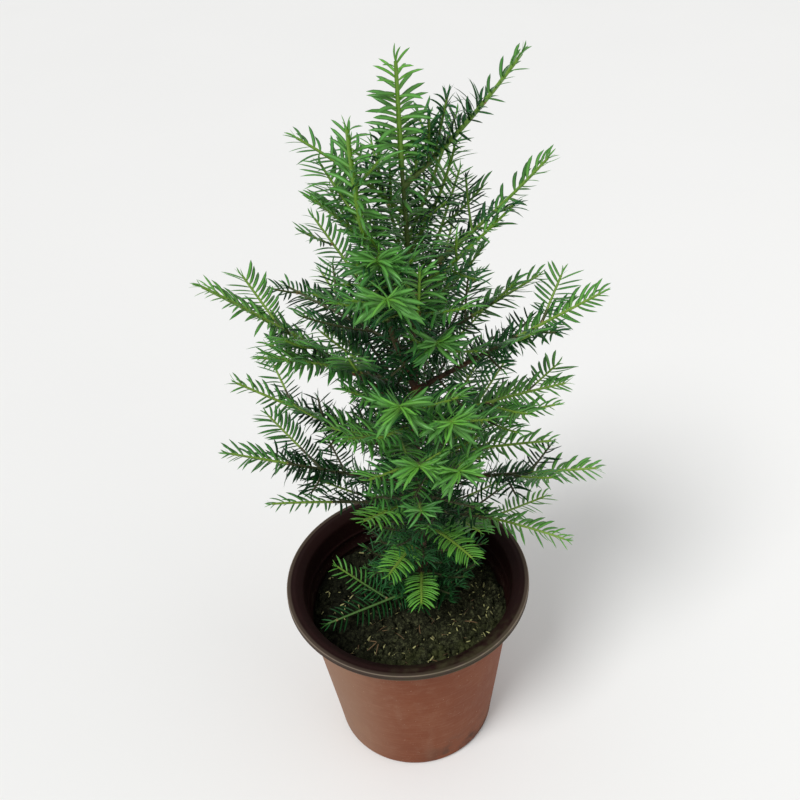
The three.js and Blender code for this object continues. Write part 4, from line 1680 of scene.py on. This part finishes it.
def straw_finish(settings):
    """Pale husks, each of its own tone, browned in patches."""
    board = Material("straw husk")
    tone = board.attribute("tone")
    patch = board.noise(board.place(), 300.0, 2.0)
    body = board.shade(tone, settings.straw, 0.45, 1.15)
    body = board.mix(patch * 0.4, body, Tint.BROWN_HUSK)
    return board.feed(Base_Color=body, Roughness=0.55 + 0.2 * patch)


def dry_finish(settings):
    """Dead needles, from pale to dark brown."""
    board = Material("dry needle")
    tone = board.attribute("tone")
    patch = board.noise(board.place(), 300.0, 2.0)
    body = board.shade((tone * 0.7 + patch * 0.3).limit(), settings.dry, 0.4, 1.5)
    return board.feed(Base_Color=body, Roughness=0.6 + 0.2 * patch)


# Pot


def arc(centre, radius, start, stop, count):
    """Points of a round stretch of a section, from one angle to another."""
    turns = [math.radians(lerp(start, stop, i / count)) for i in range(count + 1)]
    return [(centre[0] + radius * math.cos(t), centre[1] + radius * math.sin(t)) for t in turns]


ON_AXIS = 1e-9


class Rim:
    """Corners of the rim's section, each as a step inwards and a step up."""

    UNDERSIDE = ((0.00286, 0), (0.00176, -0.0006))
    LIP = (
        (0.00165, 0.0006), (0.00132, 0.0001), (0.00066, 0), (0.000165, 0.0002), (0, 0.0006),
        (0, 0.0012), (0.0004, 0.0015), (0.0004, 0.0021), (0.0001, 0.0024),
    )
    TOP = ((0.0024, -0.0002), (0.0030, -0.0004))
    MOUTH = ((-0.0020, -0.0004), (-0.0012, -0.0001), (0, -0.0003), (0.0016, -0.0018))
    ROUND = 0.0012


def pot_section():
    """Radius, height and outside share, from under the centre out, over the rim and back in."""
    foot = Pot.FOOT_RADIUS - Pot.FOOT_ROUND
    outside = [(r, 0.0) for r in np.linspace(0.0, foot, 12)[:-1]]
    outside += arc((foot, Pot.FOOT_ROUND), Pot.FOOT_ROUND, -90, -4, 8)
    outside += [(outer_radius(z), z) for z in np.linspace(0.005, Pot.WALL_TOP - 0.001, 44)]
    under = Pot.HEIGHT - Pot.FLANGE

    def stepped(radius, height, steps):
        return [(radius - back, height + up) for back, up in steps]

    rim = [
        (Pot.WALL_TOP_RADIUS, Pot.WALL_TOP),
        (Pot.WALL_TOP_RADIUS + 0.0008, Pot.WALL_TOP + 0.0016),
        (Pot.FLANGE_INNER - 0.0012, under - 0.0006),
        (Pot.FLANGE_INNER, under),
        *stepped(Pot.RIM_RADIUS, under, Rim.UNDERSIDE),
        *stepped(Pot.RIM_RADIUS, Pot.HEIGHT - Pot.LIP_DEPTH, Rim.LIP),
        (Pot.RIM_RADIUS - 0.0001, Pot.HEIGHT - Rim.ROUND),
        *arc((Pot.RIM_RADIUS - 0.0013, Pot.HEIGHT - Rim.ROUND), Rim.ROUND, 10, 90, 5),
        *stepped(Pot.RIM_RADIUS, Pot.HEIGHT, Rim.TOP),
        *stepped(Pot.FLANGE_INNER, Pot.HEIGHT, Rim.MOUTH),
        (inner_radius(Pot.WALL_TOP) + 0.0008, Pot.WALL_TOP + 0.0024),
        (inner_radius(Pot.WALL_TOP), Pot.WALL_TOP + 0.0004),
    ]
    heights = np.linspace(Pot.WALL_TOP - 0.001, Pot.RINGS[0] + 0.003, 8)
    inside = [(inner_radius(z), z) for z in heights]
    for z in Pot.RINGS:
        inside += [
            (inner_radius(z + Pot.RING_HEIGHT), z + Pot.RING_HEIGHT),
            (inner_radius(z) - Pot.RING_DEPTH, z + 0.7 * Pot.RING_HEIGHT),
            (inner_radius(z) - Pot.RING_DEPTH, z + 0.3 * Pot.RING_HEIGHT),
            (inner_radius(z), z),
            (inner_radius(z - 0.003), z - 0.003),
        ]
    inside += [(inner_radius(z), z) for z in np.linspace(0.108, Pot.FOOT_ROUND + Pot.FLOOR, 10)]
    inside += [(r, Pot.FLOOR) for r in np.linspace(foot - Pot.WALL, 0.0, 8)]
    return [(*p, 1.0) for p in outside] + [(*p, 0.0) for p in rim + inside]


def turned(section, segments, warp=None):
    """Bmesh of a closed body turned round Z, with its faces outwards."""
    body = bmesh.new()
    rings = []
    for radius, height, *_ in section:
        if radius < ON_AXIS:
            rings.append([body.verts.new((0, 0, height))])
            continue
        ring = []
        for i in range(segments):
            turn = 2 * math.pi * i / segments
            r = radius - (warp(turn, height) if warp else 0)
            ring.append(body.verts.new((r * math.cos(turn), r * math.sin(turn), height)))
        rings.append(ring)
    for low, high in zip(rings, rings[1:]):
        for i in range(segments):
            j = (i + 1) % segments
            corners = ((low, i), (low, j), (high, j), (high, i))
            unique = list(dict.fromkeys(ring[k % len(ring)] for ring, k in corners))
            if len(unique) > 2:
                body.faces.new(unique)
    bmesh.ops.recalc_face_normals(body, faces=body.faces[:])
    return body


def cut_drains(piece):
    """Cuts the drain holes through the pot's floor."""
    cutter = bmesh.new()
    for i in range(Pot.DRAINS):
        turn = 2 * math.pi * i / Pot.DRAINS
        x, y = Pot.DRAIN_CIRCLE * math.cos(turn), Pot.DRAIN_CIRCLE * math.sin(turn)
        bmesh.ops.create_cone(
            cutter, cap_ends=True, segments=24, radius1=Pot.DRAIN_RADIUS, radius2=Pot.DRAIN_RADIUS,
            depth=4 * Pot.FLOOR, matrix=Matrix.Translation((x, y, Pot.FLOOR / 2)))
    tool = in_scene("drains", mesh_of(cutter, "drains"))
    cut = piece.modifiers.new("Drains", "BOOLEAN")
    cut.operation = "DIFFERENCE"
    cut.solver = "EXACT"
    cut.object = tool
    settle(piece)
    bpy.data.objects.remove(tool)


class YEW_OT_pot(bpy.types.Operator):
    """Turn the thin plastic pot, cut its drains and give it its finish of dust, painted shade
    inside and painted highlights
    """

    bl_idname = "yew.pot"
    bl_label = "Pot"

    def execute(self, context):
        settings = context.scene.yew_pot
        section = pot_section()

        def warp(turn, height):
            place = Vector((math.cos(turn), math.sin(turn), height * 14))
            return settings.warp * (0.5 + 0.5 * noise.noise(place)) * clamp(height / 0.02)

        body = turned(section, settings.segments, warp)
        mesh = mesh_of(body, "nursery_pot")
        outside = [
            share for radius, _, share in section
            for _ in range(1 if radius < ON_AXIS else settings.segments)
        ]
        set_attribute(mesh, "outside", outside)
        mesh.shade_smooth()
        piece = plain_piece("nursery_pot", mesh, pot_finish(settings))
        cut_drains(piece)
        hand_over(piece, "pot_plastic", ["pot"])
        return {"FINISHED"}


# Soil


def soil_section():
    """Section of the filled pot's soil: floor, side, and close rings on top."""
    gap = 0.0002
    corner = Pot.FOOT_ROUND + Pot.FLOOR
    bottom = Pot.FLOOR + 0.0003
    section = [(0.0, bottom), (Pot.FOOT_RADIUS - Pot.FOOT_ROUND - Pot.WALL - gap, bottom)]
    section += [(inner_radius(z) - 2 * gap, z) for z in np.linspace(corner, Soil.TOP - 0.004, 6)]
    edge = inner_radius(Soil.TOP) - 2 * gap
    section += [(r, Soil.TOP) for r in np.linspace(edge, 0.0, 74)]
    return section


def soil_mesh(settings):
    """The soil's body, with clods on top. Its room is the distance to the wall or the trunk."""
    body = turned(soil_section(), 216)
    room = []
    for vertex in body.verts:
        x, y, z = vertex.co
        if z < Soil.TOP - 0.002:
            room.append(0.0)
            continue
        spot = Vector((x, y, 0))
        lumps = noise.fractal(spot * Soil.LUMPS_PER_METRE, 0.8, 2.0, 5)
        near, far = noise.voronoi(spot * Soil.CLODS_PER_METRE + Vector((0, 0, lumps)))[0][:2]
        clod = clamp((far - near) * 2.2) ** 0.6
        vertex.co.z = soil_height(x, y) + settings.lump * (0.45 * lumps + 0.55 * clod - 0.3)
        wall = inner_radius(Soil.TOP) - math.hypot(x, y)
        trunk = math.hypot(x - Trunk.FOOT[0], y - Trunk.FOOT[1]) - Soil.OPEN_FROM_TRUNK
        room.append(min(wall, trunk))
    mesh = mesh_of(body, "soil_bed")
    set_attribute(mesh, "room", room)
    mesh.shade_smooth()
    return mesh


def scattered(board, instance, tilt, sink):
    """Copies of a shape on the open soil, at random places, turns and sizes."""
    spread = board.node("GeometryNodeDistributePointsOnFaces", {}, {
        "Mesh": board.given("Geometry"),
        "Density": board.given("Density"),
        "Seed": board.given("Seed"),
    })
    room = board.attribute("room")
    points = board.node("GeometryNodeDeleteGeometry", {}, {
        "Geometry": spread, "Selection": room.math("LESS_THAN", room, board.given("Largest"))})
    turn = board.join(
        board.scatter(-tilt, tilt, 11), board.scatter(-tilt, tilt, 12),
        board.scatter(0.0, 6.2832, 13))
    rotation = board.node("FunctionNodeRotateRotation", {"rotation_space": "LOCAL"}, [
        spread.output("Rotation"), board.node("FunctionNodeEulerToRotation", {}, [turn])])
    size = board.scatter(0.0, 1.0, 14) ** 1.6
    size = board.given("Smallest") + (board.given("Largest") - board.given("Smallest")) * size
    placed = board.instances(points, instance, rotation, size)
    placed = board.node("GeometryNodeStoreNamedAttribute", {"domain": "INSTANCE"}, {
        "Geometry": placed, "Name": "tone", "Value": board.scatter(0.0, 1.0, 15)})
    return board.shift(placed, spread.output("Normal"), size * (-1.0 * sink))


def crumb_tree():
    """Round crumbs of soil, dented by noise."""
    board = Geometry("Crumbs", density=1000.0, seed=3, smallest=0.0004, largest=0.002)
    ball = board.node("GeometryNodeMeshIcoSphere", {}, {"Radius": 1.0, "Subdivisions": 2})
    dent = board.noise(board.position(), 1.3, 2.0) - 0.5
    ball = board.shift(ball, board.node("GeometryNodeInputNormal"), dent * 1.4)
    return board.finish(scattered(board, ball, 1.5, -0.15))


def husk_tree():
    """Boat-shaped husks and dry needles that lie flat on the soil."""
    board = Geometry(
        "Husks", density=1000.0, seed=5, smallest=0.003, largest=0.005, slimness=0.26,
        fullness=0.12, curl=0.10)
    flake = blade(
        board, board.given("Slimness"), board.given("Fullness"), board.given("Curl"),
        board.given("Curl"))
    return board.finish(scattered(board, flake, 0.22, -0.14))


class YEW_OT_soil(bpy.types.Operator):
    """Fill the pot with lumpy soil, and scatter crumbs, straw husks and dry needles on it"""

    bl_idname = "yew.soil"
    bl_label = "Soil"

    def execute(self, context):
        settings = context.scene.yew_soil
        mesh = soil_mesh(settings)
        crumbs, husks = crumb_tree(), husk_tree()
        loose = [
            grown_piece(
                "soil_crumbs", crumbs, mesh.copy(), density=80000.0, seed=3, smallest=0.0005,
                largest=settings.crumb, material=soil_finish(settings, "soil crumb", 1.2)),
            grown_piece(
                "straw_husks", husks, mesh.copy(), density=21000.0, seed=8,
                smallest=0.6 * settings.husk, largest=settings.husk, slimness=0.28,
                fullness=0.14, curl=0.08, material=straw_finish(settings)),
            grown_piece(
                "fallen_needles", husks, mesh.copy(), density=6000.0, seed=21, smallest=0.007,
                largest=0.014, slimness=0.08, fullness=0.04, curl=0.10,
                material=dry_finish(context.scene.yew_needles)),
        ]
        piece = plain_piece("soil_bed", mesh, soil_finish(settings))
        hand_over(piece, "potting_soil", ["soil"])
        for item in loose:
            hand_over(item, "potting_soil")
        return {"FINISHED"}


# Trunk, boughs and twigs


class Lines:
    """Centre lines of round stems, with their girth at each point."""

    def __init__(self):
        self.points, self.edges, self.girth = [], [], []
        self.nodes = set()

    def add(self, points, girth, node):
        first = len(self.points)
        self.points += list(points)
        self.girth += list(girth)
        self.edges += [(i, i + 1) for i in range(first, len(self.points) - 1)]
        self.nodes.add(node)

    def mesh(self, name):
        mesh = points_mesh(name, self.points, self.edges)
        set_attribute(mesh, "girth", self.girth)
        return mesh


def limb_tree():
    """Round limbs along lines, with flaking bark in relief."""
    board = Geometry("Limbs", ring=0.0012, sides=24, relief=0.0004)
    curve = board.node("GeometryNodeMeshToCurve", {}, [board.given("Geometry")])
    curve = board.node("GeometryNodeResampleCurve", {"mode": "LENGTH"}, {
        "Curve": curve, "Length": board.given("Ring")})
    along = board.node("GeometryNodeSplineParameter", output="Length")
    curve = board.store(curve, "along", along)
    section = board.node("GeometryNodeCurvePrimitiveCircle", {"mode": "RADIUS"}, {
        "Resolution": board.given("Sides"), "Radius": 1.0})
    section = board.store(section, "around", board.position(), "FLOAT_VECTOR")
    body = board.tube(curve, section)
    x, y, _ = board.parts(board.attribute("around", "FLOAT_VECTOR"))
    girth = board.attribute("girth")
    wide = girth * 260.0
    place = board.join(x * wide, y * wide, board.attribute("along") * 95.0)
    plates = board.noise(place, 1.6, 4.0, 0.55).ramp(0.42, 0.56)
    fine = board.noise(place, 5.0, 3.0, 0.6)
    flake = plates * 0.6 + fine * 0.5
    height = (flake - 0.6) * board.given("Relief") * (girth * 220.0).limit()
    body = board.store(body, "flake", flake)
    body = board.shift(body, board.node("GeometryNodeInputNormal"), height)
    return board.finish(board.node("GeometryNodeSetShadeSmooth", {}, [body]))


def twig_tree():
    """Ribbed twigs along lines, where ribs run down from the needles."""
    board = Geometry("Twigs", ribs=5, furrow=0.84)
    curve = board.node("GeometryNodeMeshToCurve", {}, [board.given("Geometry")])
    section = board.node("GeometryNodeCurveStar", {}, {
        "Points": board.given("Ribs"), "Inner Radius": board.given("Furrow"), "Outer Radius": 1.0})
    section = board.store(section, "rib", section.output("Outer Points"))
    body = board.tube(curve, section)
    return board.finish(board.node("GeometryNodeSetShadeSmooth", {}, [body]))


def trunk_girth(z):
    """The trunk is slimmer than its solid from a little above the soil, and again near its top."""
    return trunk_radius(z) * (1 - 0.25 * clamp((z - 0.13) / 0.10) - 0.2 * clamp((z - 0.3) / 0.1))


def bough_girth(limb, along):
    """A bough is slimmer than its solid, but for a collar where it leaves the trunk."""
    slim = lerp(0.5, 0.92, clamp(along / limb.bough))
    collar = 1 + 0.45 * math.exp(-max(along - trunk_radius(limb.z), 0) / 0.004)
    return bough_radius(limb, along) * slim * collar


def limb_lines():
    """Centre lines of the trunk and the boughs."""
    lines = Lines()
    heights = np.linspace(Soil.TOP - 0.003, Trunk.TOP + 0.001, 180)
    lines.add([trunk_axis(z) for z in heights], [trunk_girth(z) for z in heights], "trunk")
    for mass in grown_crown()[0]:
        limb = mass.limb
        if limb.bough > 0:
            stem = mass.sprays[0].stem
            places = np.linspace(0.0, limb.bough + 0.001, 30)
            girth = [bough_girth(limb, a) for a in places]
            lines.add([stem.point(a) for a in places], girth, f"bough_{mass.index:02d}")
    return lines


class TwigLine:
    """How a stem is drawn. One whose youth is below the green one is woody all along."""

    GREEN_YOUTH = 0.38
    PAST_END = 0.001
    SHORTEST = 0.002
    STEP = 0.004


def twig_lines():
    """Centre lines of all stems, last year's and this year's apart."""
    woody, green = Lines(), Lines()
    for mass in grown_crown()[0]:
        for spray in mass.sprays:
            start = spray.start if spray.order < 2 else 0.5 * spray.start
            finish = spray.end + TwigLine.PAST_END
            if mass.limb.flush:
                joint = spray.first_needle
            elif spray.order < 2 and spray.youth > TwigLine.GREEN_YOUTH:
                joint = min(spray.joint, finish)
            else:
                joint = finish
            stout = mass.limb.stout if spray.order == 0 else 1
            for lines, low, high in ((woody, start, joint), (green, joint, finish)):
                if high - low >= TwigLine.SHORTEST:
                    steps = max(2, math.ceil((high - low) / TwigLine.STEP))
                    places = [lerp(low, high, i / steps) for i in range(steps + 1)]
                    girth = [stout * stem_thickness(spray, a) for a in places]
                    lines.add([spray.stem.point(a) for a in places], girth, spray.node)
    return woody, green


class YEW_OT_limbs(bpy.types.Operator):
    """Grow the trunk and boughs with the relief of their bark"""

    bl_idname = "yew.limbs"
    bl_label = "Trunk and Boughs"

    def execute(self, context):
        settings = context.scene.yew_stems
        piece = grown_piece(
            "trunk_and_boughs", limb_tree(), limb_lines().mesh("limb_lines"), ring=settings.ring,
            sides=settings.sides, relief=settings.relief, material=bark_finish(settings))
        hand_over(piece, "bark", LIMB_NODES)
        return {"FINISHED"}


class YEW_OT_twigs(bpy.types.Operator):
    """Grow the twigs that carry the needles, woody ones and green ones apart"""

    bl_idname = "yew.twigs"
    bl_label = "Twigs"

    def execute(self, context):
        settings = context.scene.yew_stems
        tree = twig_tree()
        woody, green = twig_lines()
        for name, lines, material, slot in (
            ("woody_twigs", woody, stem_finish("woody twig", settings.woody, 0.55), "bark"),
            ("green_twigs", green, stem_finish("green twig", settings.green, 0.40), "needles"),
        ):
            piece = grown_piece(name, tree, lines.mesh(name), material=material)
            hand_over(piece, slot, sorted(lines.nodes))
        return {"FINISHED"}


class YEW_OT_needles(bpy.types.Operator):
    """Set the needles of every spray, each age of green as a piece of its own"""

    bl_idname = "yew.needles"
    bl_label = "Needles"

    def execute(self, context):
        settings = context.scene.yew_needles
        tree = needle_tree()
        for kind, bed in NeedleGrower(settings).fill().items():
            if not bed.needles:
                continue
            sheen, wide = NEEDLE_BUILD[kind]
            material = needle_finish(f"{kind} needle", tuple(getattr(settings, kind)), sheen)
            piece = grown_piece(
                f"needles_{kind}", tree, bed.mesh(kind), full=settings.full,
                width=settings.width * wide,
                thickness=settings.thickness, sweep=settings.sweep, droop=settings.droop,
                material=material)
            slot = "young_needles" if kind in ("fresh", "bright") else "needles"
            hand_over(piece, slot, sorted(bed.nodes))
        return {"FINISHED"}


class BudScale:
    """Bud scales in whorls, at every joint and at the foot of some side shoots."""

    COUNT = 4
    SIDE_SHARE = 0.5
    SIDE_FOOT = 0.0018
    UNEVEN = 0.4
    LEAN = 14
    LEAN_SCATTER = 12
    SIZES = (0.7, 1.1)


class YEW_OT_buds(bpy.types.Operator):
    """Set the bud scales round each joint and at the foot of some side shoots"""

    bl_idname = "yew.buds"
    bl_label = "Bud Scales"

    def execute(self, context):
        settings = context.scene.yew_stems
        bed = NeedleBed()
        for mass in grown_crown()[0]:
            draw = scatter_of("scales", mass.index)
            for spray in mass.sprays:
                if spray.order == 0:
                    self.ring(bed, spray, spray.joint, draw, settings)
                elif spray.order == 1 and next(draw) < BudScale.SIDE_SHARE:
                    self.ring(bed, spray, spray.start + BudScale.SIDE_FOOT, draw, settings)
        piece = grown_piece(
            "bud_scales", needle_tree(), bed.mesh("scales"), full=1.0, width=0.55, thickness=0.12,
            sweep=0.02, droop=0.25,
            material=patchy_finish("bud scale", settings.scales, (0.6, 1.35), 400.0, (0.5, 0.2)))
        hand_over(piece, "bark")
        return {"FINISHED"}

    @staticmethod
    def ring(bed, spray, along, draw, settings):
        """One whorl of scales that clasp the stem."""
        ahead, left, up = spray.stem.frame(along)
        centre = spray.stem.point(along)
        girth = 0.8 * stem_thickness(spray, along)
        for k in range(BudScale.COUNT):
            turn = 2 * math.pi * (k + BudScale.UNEVEN * next(draw)) / BudScale.COUNT
            out = toward(left, up, turn)
            lean = math.radians(BudScale.LEAN + BudScale.LEAN_SCATTER * next(draw))
            size = settings.scale * lerp(*BudScale.SIZES, next(draw))
            root = centre + out * girth - ahead * 0.4 * size
            bed.add(
                root, toward(ahead, out, lean), toward(out, -ahead, lean), size, k % 2, next(draw),
                spray.node)


# Stage


# Name, which is also the setting of its strength, kind, place and width.
LIGHTS = (
    ("key", "SUN", (-0.9, -1.0, 2.1), {"angle": math.radians(24)}),
    ("fill", "AREA", (1.3, -0.7, 1.1), {"size": 1.6}),
)
LIGHT_TARGET = Vector((0.0, 0.0, 0.28))
FLOOR_HALF = 6.0
CAMERA_PLACE = (0.0038, -0.4782, 0.6867)
CAMERA_PITCH = 37.76
CAMERA_ROLL = -4.03
CAMERA_LENS = 42.75


class YEW_OT_stage(bpy.types.Operator):
    """Lay the pale floor, hang the soft lights and place the camera"""

    bl_idname = "yew.stage"
    bl_label = "Stage"

    def execute(self, context):
        settings = context.scene.yew_stage
        self.floor(settings)
        self.lights(context.scene, settings)
        self.camera(context.scene)
        return {"FINISHED"}

    @staticmethod
    def floor(settings):
        mesh = bpy.data.meshes.new("studio_floor")
        corners = [
            (FLOOR_HALF * x, FLOOR_HALF * y, 0) for x, y in ((-1, -1), (1, -1), (1, 1), (-1, 1))]
        mesh.from_pydata(corners, [], [(0, 1, 2, 3)])
        finish = patchy_finish(
            "studio floor", settings.floor, (0.99, 1.01), 3.0, (0.7, 0.1), Specular_IOR_Level=0.2)
        plain_piece("studio_floor", mesh, finish)

    @staticmethod
    def lights(scene, settings):
        for name, kind, place, width in LIGHTS:
            lamp = bpy.data.lights.new(name, kind)
            lamp.energy = getattr(settings, name)
            for key, value in width.items():
                setattr(lamp, key, value)
            light = in_scene(name, lamp)
            light.location = place
            ray = LIGHT_TARGET - Vector(place)
            light.rotation_euler = ray.to_track_quat("-Z", "Y").to_euler()
        world = bpy.data.worlds.new("studio")
        world.use_nodes = True
        background = world.node_tree.nodes["Background"]
        background.inputs["Color"].default_value = (1.0, 1.0, 1.0, 1.0)
        background.inputs["Strength"].default_value = settings.sky
        scene.world = world
        scene.view_settings.view_transform = "Standard"

    @staticmethod
    def camera(scene):
        lens = bpy.data.cameras.new("camera")
        lens.lens = CAMERA_LENS
        lens.sensor_width = 36.0
        lens.clip_start = 0.01
        camera = in_scene("camera", lens)
        tilt = Matrix.Rotation(math.radians(90 - CAMERA_PITCH), 4, "X")
        roll = Matrix.Rotation(math.radians(CAMERA_ROLL), 4, "Z")
        camera.matrix_world = Matrix.Translation(CAMERA_PLACE) @ tilt @ roll
        scene.camera = camera


# The add-on's panel and registration


STEPS = (
    YEW_OT_stage, YEW_OT_pot, YEW_OT_soil, YEW_OT_limbs, YEW_OT_twigs, YEW_OT_needles, YEW_OT_buds)
SETTINGS = {
    "yew_needles": YewNeedleSettings,
    "yew_stems": YewStemSettings,
    "yew_pot": YewPotSettings,
    "yew_soil": YewSoilSettings,
    "yew_stage": YewStageSettings,
}


class YEW_PT_panel(bpy.types.Panel):
    """Steps that dress the potted yew"""

    bl_idname = "YEW_PT_panel"
    bl_label = "Potted Yew"
    bl_space_type = "VIEW_3D"
    bl_region_type = "UI"
    bl_category = "Yew"

    def draw(self, context):
        for step in STEPS:
            self.layout.operator(step.bl_idname)
        for name, group in SETTINGS.items():
            box = self.layout.box()
            box.label(text=group.__doc__)
            for key in group.__annotations__:
                box.prop(getattr(context.scene, name), key)


def register():
    for group in (*SETTINGS.values(), *STEPS, YEW_PT_panel):
        bpy.utils.register_class(group)
    for name, group in SETTINGS.items():
        setattr(bpy.types.Scene, name, PointerProperty(type=group))


def unregister():
    for name in SETTINGS:
        delattr(bpy.types.Scene, name)
    for group in (YEW_PT_panel, *reversed(STEPS), *reversed(SETTINGS.values())):
        bpy.utils.unregister_class(group)


def main():
    register()
    bpy.ops.yew.stage()
    bpy.ops.yew.pot()
    bpy.ops.yew.soil()
    bpy.ops.yew.limbs()
    bpy.ops.yew.twigs()
    bpy.ops.yew.needles()
    bpy.ops.yew.buds()
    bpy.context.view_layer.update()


if __name__ == "__main__":
    main()
